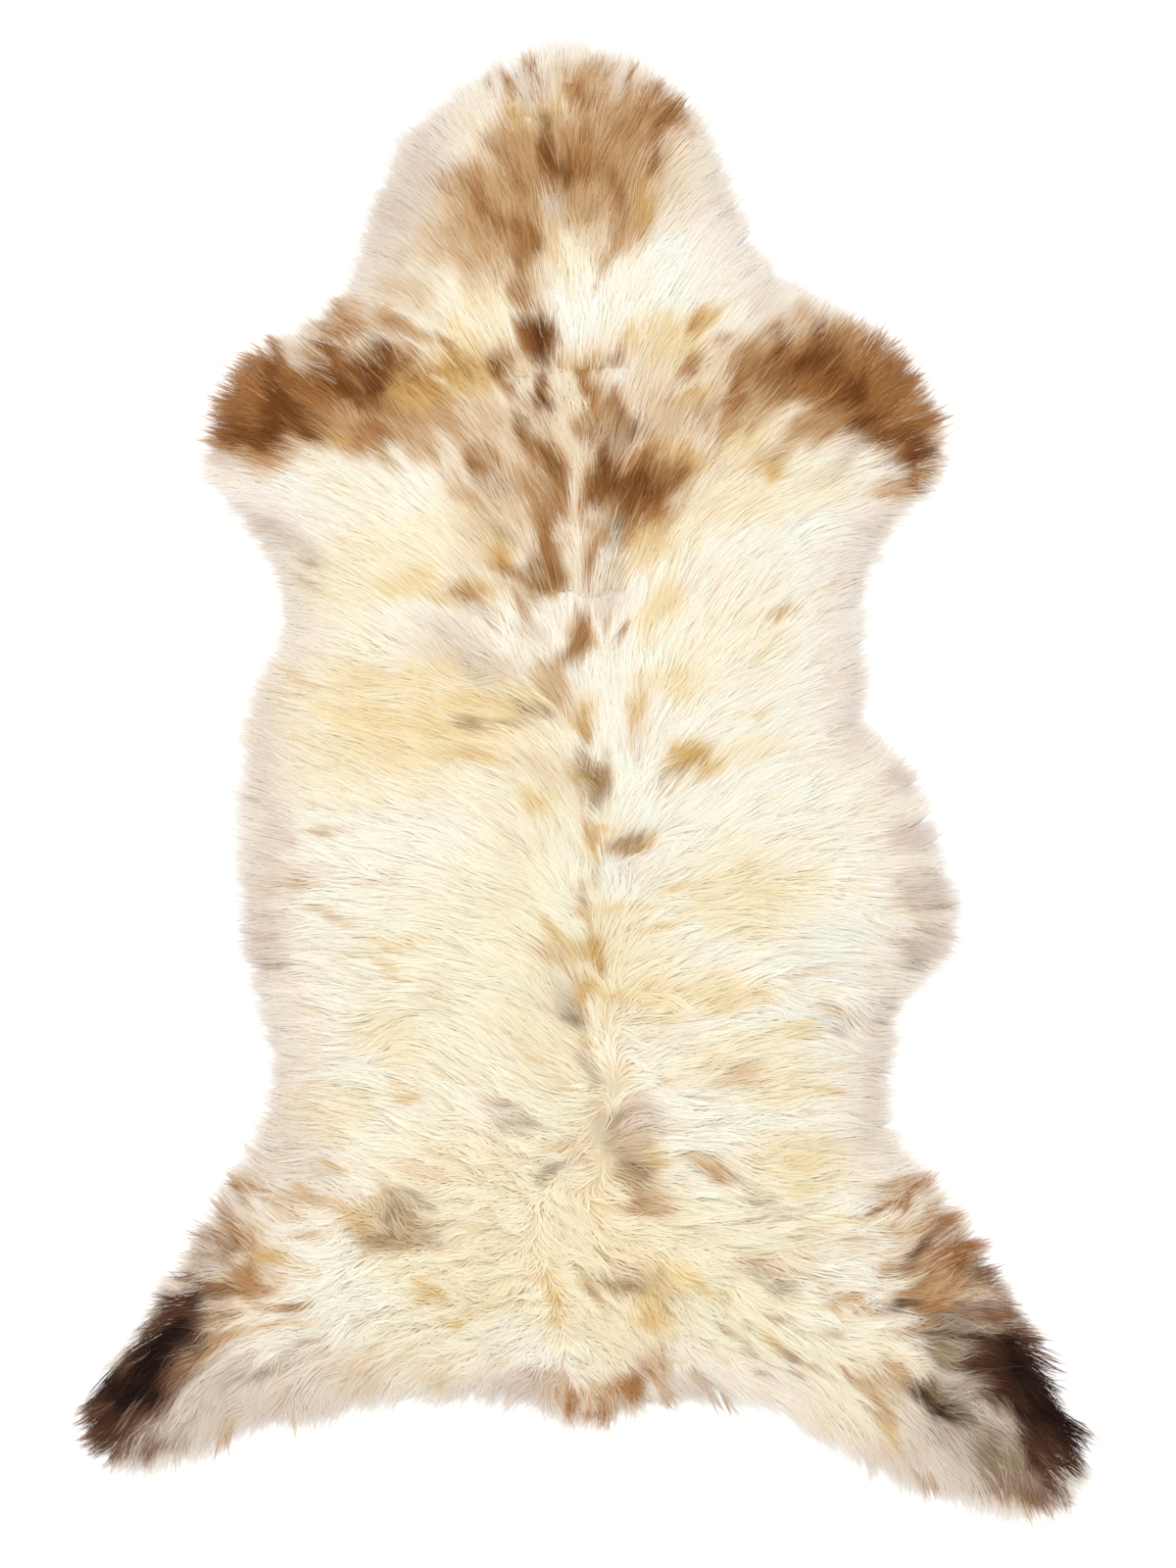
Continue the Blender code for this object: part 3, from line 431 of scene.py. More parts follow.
# Tufts, each of some locks: distances in metres, turns in degrees, the rest as shares
TUFT_PITCH = 0.0135
TUFT_JITTER = 0.35
TUFT_TURN = 5
TUFT_RISE = 0.0008
TUFT_REACH = (0.82, 1.08)
TUFT_SHADE = 0.02
TUFT_HALF = 0.009
LOCK_PITCH = 0.0062
LOCK_JITTER = 0.4
LOCK_TURN = 3
PARTING_TURN = 24
LOCK_CURL = 5
LOCK_RISE = 0.0004
LOCK_SAG = 0.0011
LOCK_REACH = (0.85, 1.1)
LOCK_LENGTH = (0.8, 1.15)
WOOL_LENGTH = 0.052
# Dark thin locks sunk between the others, tinted with painted shade of the gaps between tufts
ACCENT_SHARE = 0.015
ACCENT_MORE = 0.05
ACCENT_DROP = 0.0006
ACCENT_STRANDS = 0.33
ACCENT_SPREAD = 0.0005
GAP_SHADE_TINT = (0.78, 0.62, 0.40)

# Strands
STRANDS_IN_LOCK = 9.0
STRAND_POINTS = 5
STRAND_WIDTH = 0.0012
STRAND_SPREAD = 0.0030
STRAND_LENGTH = (0.66, 1.06)
SHORTEST_STRAND = 0.008
STRAND_TURN = 2
LOOSE_SHARE = 0.06
LOOSE_TURN = 14
LOOSE_RISE = 0.0008
LOOSE_WIDTH = 0.6
ROOT_DEPTH = 0.0034
RIM_SPREAD = 0.012
RIM_SHARE = (0.42, 0.75)
LONG_RIM_STRANDS = 0.02
LONG_RIM_SHARE = 1.2
STOPPED_SHARE = 0.88
STOPPED_LEAST = 0.004
SHARES_OF_LIFT = (0.2, 0.8, 1.0, 0.9, 0.6)
SHARES_OF_WIDTH = (0.8, 1.0, 0.95, 0.7, 0.0)
SHARES_OF_SHADE = (0.0, 0.45, 0.85, 1.0, 1.0)

# The strands' tints: shares of linear light, and colours from 0 to 255. The darker, yellower roots
# are painted shade deep in the fleece, with the inner wool's own yellower tint.
FRAYING = 3.2
LOCAL_SHARE = 0.6
ROOT_SHADE_PALE = (0.95, 0.87, 0.73)
ROOT_SHADE_DARK = (0.85, 0.76, 0.66)
# The underwool's darker tint is painted shade deep in the fleece, with the inner wool's own
# yellower tint.
UNDER_SHADE_PALE = (0.94, 0.87, 0.74)
UNDER_SHADE_DARK = (0.8, 0.72, 0.66)
RIM_COLOUR = (238, 228, 219)
TIP_COLOUR = (252, 249, 246)
DARK_TIP_COLOUR = (178, 140, 112)

CAMERA_HEIGHT = 4.0
SENSOR_WIDTH = 36
LIGHT_SIDE = 1.6
FLOOR_HALF = 12

PIECE_NAMES = ("rump", "loin", "ribs", "withers", "neck")
BODY = "root"
NODE = "sheepskin"


def on_chart(x, y):
    """A point of the chart as metres in the frame."""
    return (x - MIDDLE_X) * UNIT * MM, (MIDDLE_Y - y) * UNIT * MM


def smooth_step(share):
    """An even rise from 0 to 1 that starts and ends softly."""
    share = np.clip(share, 0, 1)
    return share * share * (3 - 2 * share)


def tousled_at(y):
    """How tousled the wool is: not at all in the upper half, and fully at the rump."""
    return smooth_step((0.02 - y) / 0.35)


def pale_share(lightness):
    """How pale a colour is, from 0 to 1, as a column."""
    return smooth_step((lightness - 0.1) / 0.5)[:, None]


def between(field, i, j, fu, fv):
    """The value at a share of the way between four neighbours of a grid."""
    low = field[i, j] * (1 - fu) + field[i + 1, j] * fu
    high = field[i, j + 1] * (1 - fu) + field[i + 1, j + 1] * fu
    return low * (1 - fv) + high * fv


def lattice_noise(x, y, size, seed):
    """Soft noise from about -1 to 1 with features of that size, in metres."""
    lattice = np.random.default_rng(seed).uniform(-1, 1, (256, 256))
    u = x / size + 128
    v = y / size + 128
    i = np.floor(u).astype(int)
    j = np.floor(v).astype(int)
    fu = smooth_step(u - i)
    fv = smooth_step(v - j)
    return between(lattice, i % 255, j % 255, fu, fv)


def closed_curve(marks, steps):
    """A smooth closed line through the marks."""
    marks = np.array(marks, float)
    before = np.roll(marks, 1, axis=0)
    end = np.roll(marks, -1, axis=0)
    after = np.roll(marks, -2, axis=0)
    spans = []
    for step in range(steps):
        t = step / steps
        bend = (2 * before - 5 * marks + 4 * end - after) * t**2
        twist = (3 * marks - before - 3 * end + after) * t**3
        spans.append((2 * marks + (end - before) * t + bend + twist) / 2)
    return np.stack(spans, axis=1).reshape(-1, marks.shape[1])


def outlines():
    """The wool's outline and the skin's edge, as (x, y) arrays in metres."""
    wool = closed_curve(OUTLINE, 6)
    along = np.roll(wool, -1, axis=0) - np.roll(wool, 1, axis=0)
    along = along[:, :2] / np.linalg.norm(along[:, :2], axis=1, keepdims=True)
    outward = np.stack((-along[:, 1], along[:, 0]), axis=1)
    skin = wool[:, :2] - outward * wool[:, 2:3]
    for _ in range(4):
        skin = (np.roll(skin, 1, axis=0) + 2 * skin + np.roll(skin, -1, axis=0)) / 4
    shift = np.array(OUTLINE_SHIFT)
    return (wool[:, :2] - shift) * MM, (skin - shift) * MM


def inward_distance(x, y, line):
    """How far inside the closed line each point is, and less than 0 outside it."""
    nearest = np.full(x.shape, 1e9)
    inside = np.zeros(x.shape, bool)
    for (ax, ay), (bx, by) in zip(line, np.roll(line, -1, axis=0)):
        dx = bx - ax
        dy = by - ay
        share = ((x - ax) * dx + (y - ay) * dy) / (dx * dx + dy * dy + 1e-18)
        share = np.clip(share, 0, 1)
        gap = (x - ax - dx * share) ** 2 + (y - ay - dy * share) ** 2
        nearest = np.minimum(nearest, gap)
        if ay != by:
            crossing = ax + (y - ay) / (by - ay) * dx
            inside ^= ((ay > y) != (by > y)) & (x < crossing)
    nearest = np.sqrt(nearest)
    return np.where(inside, nearest, -nearest)


def blurred(field, passes):
    """The field softened by repeated averaging with its neighbours."""
    for _ in range(passes):
        padded = np.pad(field, 1, mode="edge")
        field = (padded[:-2, 1:-1] + 2 * padded[1:-1, 1:-1] + padded[2:, 1:-1]) / 4
        padded = np.pad(field, 1, mode="edge")
        field = (padded[1:-1, :-2] + 2 * padded[1:-1, 1:-1] + padded[1:-1, 2:]) / 4
    return field


class Fields:
    """Height, flow and distances of the fleece, kept on a grid and read anywhere between."""

    def __init__(self, node):
        self.xs = np.arange(-GRID_HALF_X, GRID_HALF_X + GRID_STEP / 2, GRID_STEP)
        self.ys = np.arange(-GRID_HALF_Y, GRID_HALF_Y + GRID_STEP / 2, GRID_STEP)
        x, y = np.meshgrid(self.xs, self.ys, indexing="ij")
        wool, skin = outlines()
        self.skin_line = skin
        self.in_skin = inward_distance(x, y, skin)
        self.in_wool = inward_distance(x, y, wool)
        self.height = self.fleece_height(x, y, node)
        heading = self.heading(x, y)
        self.flow_x = np.cos(heading)
        self.flow_y = np.sin(heading)
        self.crimp = np.zeros(x.shape)
        for cx, cy, across, down in CRIMPED:
            px, py = on_chart(cx, cy)
            reach = ((x - px) / (across * UNIT * MM)) ** 2 + ((y - py) / (down * UNIT * MM)) ** 2
            self.crimp = np.maximum(self.crimp, np.exp(-reach))
        tint = wool_colour(x.ravel(), y.ravel(), np.full(x.size, 0.5))
        self.tint = [tint[:, k].reshape(x.shape) for k in range(3)]

    def fleece_height(self, x, y, node):
        """The top of the CAD model, softened, and falling to the floor outside the skin."""
        node.data.calc_loop_triangles()
        corners = [vert.co.copy() for vert in node.data.vertices]
        faces = [tuple(triangle.vertices) for triangle in node.data.loop_triangles]
        tree = BVHTree.FromPolygons(corners, faces)
        down = Vector((0, 0, -1))
        top = np.zeros(x.shape)
        covered = self.in_skin > 0.001
        for i, j in zip(*np.nonzero(covered)):
            hit = tree.ray_cast(Vector((x[i, j], y[i, j], 1)), down)[0]
            top[i, j] = hit.z if hit else 0
        known = blurred(covered.astype(float), 3)
        top = blurred(top, 3) / np.maximum(known, 1e-6)
        beyond = np.maximum(0, -self.in_skin)
        room = beyond + np.maximum(0, self.in_wool)
        share = beyond / np.maximum(room, 1e-6)
        rim = RIM_HEIGHT * np.clip(1 - share, 0, 1) ** RIM_BEND + TIP_HEIGHT
        blend = smooth_step(self.in_skin / RIM_BLEND + 0.5)
        top = np.where(known > 0.02, top, HEIGHT_UNKNOWN)
        return blurred(top * blend + rim * (1 - blend), 2)

    def heading(self, x, y):
        """The direction of the tips in radians, from the chart, the rim, the whorls and noise."""
        east = np.zeros(x.shape)
        north = np.zeros(x.shape)
        for cx, cy, degrees in COMBING:
            px, py = on_chart(cx, cy)
            weight = 1 / ((x - px) ** 2 + (y - py) ** 2 + COMB_REACH**2) ** 2
            east += weight * math.cos(math.radians(degrees))
            north += weight * math.sin(math.radians(degrees))
        size = np.hypot(east, north)
        east /= size
        north /= size
        soft = blurred(self.in_skin, 6)
        out_x = -np.gradient(soft, axis=0)
        out_y = -np.gradient(soft, axis=1)
        size = np.hypot(out_x, out_y) + 1e-9
        # The wool turns outward near the outline.
        pull = LEG_PULL + BODY_PULL * smooth_step((y + 0.40) / 0.15)
        pull = pull * (1 - smooth_step((self.in_skin + 0.015) / 0.035))
        east = east * (1 - pull) + out_x / size * pull
        north = north * (1 - pull) + out_y / size * pull
        angle = np.arctan2(north, east)
        spread = np.gradient(np.cos(angle), GRID_STEP, axis=0)
        spread += np.gradient(np.sin(angle), GRID_STEP, axis=1)
        self.parting = blurred(np.clip(spread / PARTING_SPREAD, 0, 1), 4)
        lower = smooth_step((0.05 - y) / 0.45)
        for size, seed, everywhere, more in FLOW_NOISE:
            angle += np.radians(everywhere + more * lower) * lattice_noise(x, y, size, seed)
        for cx, cy, reach, turn in WHORLS:
            px, py = on_chart(cx, cy)
            far = ((x - px) ** 2 + (y - py) ** 2) / (reach * UNIT * MM) ** 2
            angle += turn * np.exp(-far)
        return angle

    def read(self, field, x, y):
        u = np.clip((x - self.xs[0]) / GRID_STEP, 0, len(self.xs) - 1.001)
        v = np.clip((y - self.ys[0]) / GRID_STEP, 0, len(self.ys) - 1.001)
        i = u.astype(int)
        j = v.astype(int)
        return between(field, i, j, u - i, v - j)

    def free_length(self, x, y, angle):
        """How far a strand can run that way before it leaves the wool's outline."""
        free = np.full(x.shape, 0.006)
        inside = np.ones(x.shape, bool)
        for step in range(2, 20):
            far = 0.004 * step
            here = self.read(self.in_wool, x + far * np.cos(angle), y + far * np.sin(angle))
            inside &= here > -RIM_SPREAD
            free = np.where(inside, far, free)
        return free

    def direction(self, x, y):
        east = self.read(self.flow_x, x, y)
        north = self.read(self.flow_y, x, y)
        return np.arctan2(north, east)


def linear(colour):
    """A colour from 0 to 255 as linear light."""
    share = np.array(colour, float) / 255
    return np.where(share <= 0.04045, share / 12.92, ((share + 0.055) / 1.055) ** 2.4)


def warp(x, y, seed):
    """How far the markings are shifted at each point, so that their edges are uneven."""
    coarse = 0.008 * lattice_noise(x, y, 0.020, seed)
    return coarse + 0.005 * lattice_noise(x, y, 0.008, seed + 1)


def markings():
    """The chart's markings in order: five numbers, the colour's logarithm and the strength."""
    for row in ",".join(MARKINGS.values()).split(","):
        *numbers, name, strength = row.split()
        yield *map(float, numbers), np.log(linear(WOOL_COLOURS[name])), float(strength)


def wool_colour(x, y, chance):
    """The chart's colour at each point. Chance, from 0 to 1, frays the edges of the markings."""
    u = x + warp(x, y, 31)
    v = y + warp(x, y, 33)
    ground = np.log(linear(WOOL_COLOURS["ivory"]))
    colour = np.tile(ground, (len(x), 1))
    for cx, cy, across, down, turn, paint, strength in markings():
        px, py = on_chart(cx, cy)
        angle = math.radians(turn)
        right = (u - px) * math.cos(angle) + (v - py) * math.sin(angle)
        up = (v - py) * math.cos(angle) - (u - px) * math.sin(angle)
        far = np.hypot(right / (across * UNIT * MM), up / (down * UNIT * MM))
        cover = strength * smooth_step(1.45 - far)
        cover = np.clip(cover + (chance - 0.5) * FRAYING * cover * (1 - cover), 0, 1)
        colour += (paint - colour) * cover[:, None]
    depth = 0.65 + 0.7 * chance
    return np.exp(ground + (colour - ground) * depth[:, None])


def honeycomb(pitch):
    """Points all over the grid in a honeycomb."""
    rows = int(2 * GRID_HALF_Y / (pitch * ROW_RISE))
    columns = int(2 * GRID_HALF_X / pitch)
    column, row = np.meshgrid(np.arange(columns), np.arange(rows), indexing="ij")
    x = (-GRID_HALF_X + pitch * (column + 0.5 * (row % 2))).ravel()
    y = (-GRID_HALF_Y + pitch * ROW_RISE * row).ravel()
    return x, y


def loose_honeycomb(pitch, jitter, dice):
    """A honeycomb with each point moved a little at random."""
    x, y = honeycomb(pitch)
    x = x + dice.uniform(-jitter, jitter, x.size) * pitch
    y = y + dice.uniform(-jitter, jitter, y.size) * pitch
    return x, y


def nearest_of(x, y, far_x, far_y):
    """For each point, the number of the nearest of the others."""
    found = np.empty(len(x), int)
    for start in range(0, len(x), 500):
        part = slice(start, start + 500)
        gaps = (x[part, None] - far_x) ** 2 + (y[part, None] - far_y) ** 2
        found[part] = gaps.argmin(axis=1)
    return found


def stopped_at_creases(x, y, lean, length, stops):
    """The strands' lengths, less where a strand that stops at creases would cross one."""
    east = np.cos(lean)
    north = np.sin(lean)
    for line in CREASES:
        for start, end in zip(line, line[1:]):
            from_x, from_y = on_chart(*start)
            to_x, to_y = on_chart(*end)
            cross = east * (to_y - from_y) - north * (to_x - from_x)
            cross = np.where(np.abs(cross) < 1e-9, 1e-9, cross)
            far = ((from_x - x) * (to_y - from_y) - (from_y - y) * (to_x - from_x)) / cross
            share = ((from_x - x) * north - (from_y - y) * east) / cross
            crossed = stops & (far > 0) & (far < length) & (share >= 0) & (share <= 1)
            length = np.where(crossed, np.maximum(far, STOPPED_LEAST), length)
    return length


def grow_locks(fields, dice):
    """The locks of wool: where they stand, and how each of them lies."""
    tuft_x, tuft_y = loose_honeycomb(TUFT_PITCH, TUFT_JITTER, dice)
    tufts = len(tuft_x)
    tuft_turn = np.radians(TUFT_TURN) * dice.standard_normal(tufts)
    tuft_rise = TUFT_RISE * dice.standard_normal(tufts)
    tuft_reach = dice.uniform(*TUFT_REACH, tufts)
    tuft_shade = 1 + TUFT_SHADE * dice.standard_normal(tufts)

    x, y = loose_honeycomb(LOCK_PITCH, LOCK_JITTER, dice)
    inside = fields.read(fields.in_skin, x, y) > 0.0008
    x = x[inside]
    y = y[inside]
    locks = len(x)
    tuft = nearest_of(x, y, tuft_x, tuft_y)
    crimp = fields.read(fields.crimp, x, y)
    parting = fields.read(fields.parting, x, y)
    length = WOOL_LENGTH * dice.uniform(*LOCK_LENGTH, locks) * (1 - 0.3 * crimp)
    length *= 1 - 0.4 * parting
    tousled = tousled_at(y)
    heading = fields.direction(x, y)
    aside = (y - tuft_y[tuft]) * np.cos(heading) - (x - tuft_x[tuft]) * np.sin(heading)
    aside = np.clip(aside, -TUFT_HALF, TUFT_HALF)
    reach = tuft_reach[tuft] * dice.uniform(*LOCK_REACH, locks)
    turn = tuft_turn[tuft] * (1 + tousled)
    turn = turn + np.radians(LOCK_TURN + PARTING_TURN * parting) * dice.standard_normal(locks)
    curl = np.radians(LOCK_CURL) * dice.standard_normal(locks)
    rise = tuft_rise[tuft] * (1 + 0.8 * tousled) + LOCK_RISE * dice.standard_normal(locks)
    rise -= LOCK_SAG * (0.3 + tousled) * (aside / 0.007) ** 2
    # Some locks sink between the others; their darker tint is painted shade in the gaps between
    # tufts.
    accent = dice.random(locks) < ACCENT_SHARE + ACCENT_MORE * tousled
    rise -= np.where(accent, ACCENT_DROP, 0)
    return SimpleNamespace(
        x=x, y=y, tuft=tuft, tufts=tufts, crimp=crimp, parting=parting, tousled=tousled,
        length=length, gather=-aside * (0.15 + 0.5 * tousled) / length, reach=reach, turn=turn,
        curl=curl, rise=rise, accent=accent, shade=tuft_shade[tuft],
        gap_shade=np.where(accent[:, None], np.array(GAP_SHADE_TINT), 1.0),
    )


def plant_strands(fields, locks, dice):
    """The roots of the strands, and each strand's lock, turn and length."""
    share = np.where(locks.accent, ACCENT_STRANDS, 1 + 1.6 * locks.parting)
    count = dice.poisson(share * STRANDS_IN_LOCK)
    lock = np.repeat(np.arange(len(locks.x)), count)
    strands = len(lock)
    loose = dice.random(strands) < LOOSE_SHARE
    across = np.where(locks.accent[lock], ACCENT_SPREAD, STRAND_SPREAD)
    across = dice.standard_normal(strands) * across
    behind = dice.uniform(-0.004, 0.004, strands)
    heading = fields.direction(locks.x[lock], locks.y[lock])
    x = locks.x[lock] - np.sin(heading) * across + np.cos(heading) * behind
    y = locks.y[lock] + np.cos(heading) * across + np.sin(heading) * behind
    turn = np.radians(np.where(loose, LOOSE_TURN, STRAND_TURN)) * dice.standard_normal(strands)
    length = locks.length[lock] * dice.uniform(*STRAND_LENGTH, strands)
    lean = heading + locks.turn[lock] + turn
    share = RIM_SHARE[0] + RIM_SHARE[1] * dice.random(strands) ** 0.8
    share = np.where(dice.random(strands) < LONG_RIM_STRANDS, LONG_RIM_SHARE, share)
    free = fields.free_length(x, y, lean) * locks.reach[lock] * share
    length = np.minimum(length, np.maximum(SHORTEST_STRAND, free))
    length = stopped_at_creases(x, y, lean, length, dice.random(strands) < STOPPED_SHARE)
    return SimpleNamespace(
        x=x, y=y, lock=lock, loose=loose, across=across, turn=turn, length=length
    )


def lay_strands(fields, locks, strands, dice):
    """The points of the strands, as they follow the flow over the fleece."""
    lock = strands.lock
    count = len(lock)
    x = strands.x
    y = strands.y
    length = strands.length
    steps = STRAND_POINTS - 1
    phase = dice.uniform(0, math.tau, locks.tufts)[locks.tuft][lock]
    phase = phase + 0.6 * dice.standard_normal(count)
    wave = np.radians(3.5 + 26 * locks.crimp[lock])
    wave_length = 0.030 - 0.012 * locks.crimp[lock]
    own_wave = np.radians(3) * dice.standard_normal(count)
    points = np.empty((count, STRAND_POINTS, 3))
    points[:, 0, 0] = x
    points[:, 0, 1] = y
    rim = smooth_step(1 - fields.read(fields.in_skin, x, y) / FULL_WOOL)
    closing = -strands.across * (0.35 + 0.4 * locks.tousled[lock]) * (1 - 0.7 * rim)
    closing /= np.maximum(length, 0.01)
    closing += locks.gather[lock]
    for k in range(steps):
        t = (k + 0.5) / steps
        angle = fields.direction(x, y)
        turn = (locks.turn[lock] + strands.turn) * (0.5 + 0.5 * t)
        angle = angle + turn + locks.curl[lock] * t
        angle += wave * np.sin(phase + math.tau * t * length / wave_length)
        angle += own_wave * math.sin(math.pi * t) + closing * 2 * t
        x = x + np.cos(angle) * length / steps
        y = y + np.sin(angle) * length / steps
        points[:, k + 1, 0] = x
        points[:, k + 1, 1] = y

    top = fields.read(fields.height, points[:, :, 0], points[:, :, 1])
    t = np.linspace(0, 1, STRAND_POINTS)
    full = fields.read(fields.in_skin, points[:, 0, 0], points[:, 0, 1]) / FULL_WOOL
    full = np.clip(full, 0.15, 1)
    depth = ROOT_DEPTH * dice.uniform(0.85, 1.15, count) * (1 + 0.9 * locks.tousled[lock])
    arch = -0.0008 * (strands.across / STRAND_SPREAD) ** 2 / 2
    arch = arch + 0.0003 * dice.standard_normal(count)
    arch += np.where(strands.loose, LOOSE_RISE, 0)
    lift = (locks.rise[lock] + arch) * (0.35 + 0.65 * full)
    z = top - depth[:, None] * full[:, None] * (1 - t) ** 1.5
    z += lift[:, None] * np.array(SHARES_OF_LIFT)
    points[:, :, 2] = np.maximum(z, SKIN_THICKNESS + 0.0006 - 0.0016 * t)
    return points, full


def grow_strands(fields):
    """The strands of the fleece as their points, widths, rolls and colours."""
    dice = np.random.default_rng(SEED)
    locks = grow_locks(fields, dice)
    strands = plant_strands(fields, locks, dice)
    points, full = lay_strands(fields, locks, strands, dice)
    lock = strands.lock
    count = len(lock)
    lock_count = len(locks.x)
    width = STRAND_WIDTH * dice.uniform(0.65, 1.25, count)
    width = width * np.where(strands.loose, LOOSE_WIDTH, 1)
    width *= 0.45 + 0.55 * np.clip(full * 1.3, 0, 1)
    roll = np.radians(12) * dice.standard_normal(count)
    tone = locks.shade[lock]
    tone = tone * (1 + 0.016 * dice.standard_normal(lock_count)[lock])
    tone = tone * (1 + 0.012 * dice.standard_normal(count))
    # The tint is read from the outer part of the strand.
    slide = 0.6 + 0.35 * dice.random(count)
    at_x = points[:, 2, 0] + (points[:, 4, 0] - points[:, 2, 0]) * (slide - 0.5) * 2
    at_y = points[:, 2, 1] + (points[:, 4, 1] - points[:, 2, 1]) * (slide - 0.5) * 2
    chance = 0.55 * dice.random(lock_count)[lock] + 0.45 * dice.random(count)
    # The sunk locks are darkened here by their painted gap shade.
    colour = wool_colour(at_x, at_y, chance) * tone[:, None] * locks.gap_shade[lock]
    dark = 1 - smooth_step(colour.mean(axis=1) / 0.65)
    streak = 0.16 * dice.standard_normal(lock_count)[lock] + 0.30 * dice.standard_normal(count)
    colour = colour * np.exp(dark * streak)[:, None]
    return points, width, roll, colour


def strand_colours(points, colour, fields):
    """Each strand's colour at each point: painted shade at the root, paler at the rim's tips."""
    lightness = colour.mean(axis=1)
    pale = pale_share(lightness)
    # At the root the strands are darker and yellower: painted shade deep in the fleece, with the
    # inner wool's own yellower tint.
    root_shade = np.array(ROOT_SHADE_PALE) * pale + np.array(ROOT_SHADE_DARK) * (1 - pale)
    out = np.empty((len(colour), STRAND_POINTS, 3))
    beyond = -fields.read(fields.in_skin, points[:, :, 0], points[:, :, 1])
    thin = smooth_step((lightness - 0.38) / 0.35)
    tips = linear(TIP_COLOUR) * thin[:, None] + linear(DARK_TIP_COLOUR) * (1 - thin[:, None])
    for k, shade in enumerate(SHARES_OF_SHADE):
        here = np.stack([fields.read(c, points[:, k, 0], points[:, k, 1]) for c in fields.tint], 1)
        mixed = colour * (1 - LOCAL_SHARE) + here * LOCAL_SHARE
        out[:, k] = mixed * (root_shade + (1 - root_shade) * shade)
        fade = 0.4 * thin * smooth_step((beyond[:, k] + 0.038) / 0.046)
        out[:, k] += (linear(RIM_COLOUR) - out[:, k]) * fade[:, None]
        fade = smooth_step((beyond[:, k] - 0.008) / 0.024)
        fade = fade * (0.75 * thin + 0.45 * (1 - thin)) * (k > 1)
        out[:, k] += (tips - out[:, k]) * fade[:, None]
    return np.clip(out, 0, 0.97)


def add_tint(mesh, shades):
    tint = mesh.color_attributes.new("wool tint", "FLOAT_COLOR", "POINT")
    tint.data.foreach_set("color", shades.reshape(-1))


def ribbon_mesh(name, points, width, roll, colours):
    """One mesh of tapered ribbons. Each is three quads and a pointed end."""
    strands = len(points)
    along = np.gradient(points, axis=1)
    along /= np.linalg.norm(along, axis=2, keepdims=True) + 1e-12
    side = np.stack((-along[:, :, 1], along[:, :, 0], np.zeros_like(along[:, :, 0])), axis=2)
    side /= np.linalg.norm(side, axis=2, keepdims=True) + 1e-12
    up = np.cross(along, side)
    up *= np.sign(up[:, :, 2:3]) + (up[:, :, 2:3] == 0)
    cos = np.cos(roll)[:, None, None]
    sin = np.sin(roll)[:, None, None]
    half = (width / 2)[:, None] * np.array(SHARES_OF_WIDTH)
    reach = (side * cos + up * sin) * half[:, :, None]
    verts = np.empty((strands, 9, 3))
    verts[:, 0:8:2] = (points + reach)[:, :4]
    verts[:, 1:8:2] = (points - reach)[:, :4]
    verts[:, 8] = points[:, 4]
    verts[:, :, 2] = np.maximum(verts[:, :, 2], 0.0002)
    shades = np.empty((strands, 9, 4), np.float32)
    shades[:, 0:8:2, :3] = colours[:, :4]
    shades[:, 1:8:2, :3] = colours[:, :4]
    shades[:, 8, :3] = colours[:, 4]
    shades[:, :, 3] = 1

    first = (np.arange(strands) * 9)[:, None]
    quads = [first + np.array([2 * k + 1, 2 * k + 3, 2 * k + 2, 2 * k]) for k in range(3)]
    ends = first + np.array([7, 8, 6])
    corners = np.concatenate([quad.ravel() for quad in quads] + [ends.ravel()])
    starts = np.concatenate((np.arange(3 * strands) * 4, 12 * strands + np.arange(strands) * 3))
    mesh = bpy.data.meshes.new(name)
    mesh.vertices.add(strands * 9)
    mesh.vertices.foreach_set("co", verts.reshape(-1).astype(np.float32))
    mesh.loops.add(len(corners))
    mesh.loops.foreach_set("vertex_index", corners.astype(np.int32))
    mesh.polygons.add(len(starts))
    mesh.polygons.foreach_set("loop_start", starts.astype(np.int32))
    mesh.update(calc_edges=True)
    mesh.polygons.foreach_set("use_smooth", np.ones(len(starts), bool))
    add_tint(mesh, shades)
    add_flat_map(mesh)
    return mesh


def add_flat_map(mesh):
    """A map of the piece as seen from above."""
    co = np.empty(len(mesh.vertices) * 3, np.float32)
    mesh.vertices.foreach_get("co", co)
    co = co.reshape(-1, 3)
    low = co.min(axis=0)
    span = (co.max(axis=0) - low)[:2].max()
    index = np.empty(len(mesh.loops), np.int32)
    mesh.loops.foreach_get("vertex_index", index)
    flat = (co[index, :2] - low[:2]) / span * 0.98 + 0.01
    layer = mesh.uv_layers.new(name="OFBake")
    layer.uv.foreach_set("vector", flat.reshape(-1).astype(np.float32))


def sheet_mesh(name, points, triangles, top, bottom):
    """A closed mesh between two heights over flat triangles."""
    count = len(points)
    verts = [(x, y, z) for (x, y), z in zip(points, top)]
    verts += [(x, y, z) for (x, y), z in zip(points, bottom)]
    faces = [tuple(triangle) for triangle in triangles]
    used = {}
    for a, b, c in triangles:
        for start, end in ((a, b), (b, c), (c, a)):
            used[(start, end)] = True
    faces += [tuple(count + i for i in reversed(triangle)) for triangle in triangles]
    for start, end in used:
        if (end, start) not in used:
            faces.append((end, start, count + start, count + end))
    mesh = bpy.data.meshes.new(name)
    mesh.from_pydata(verts, [], faces)
    mesh.update()
    return mesh


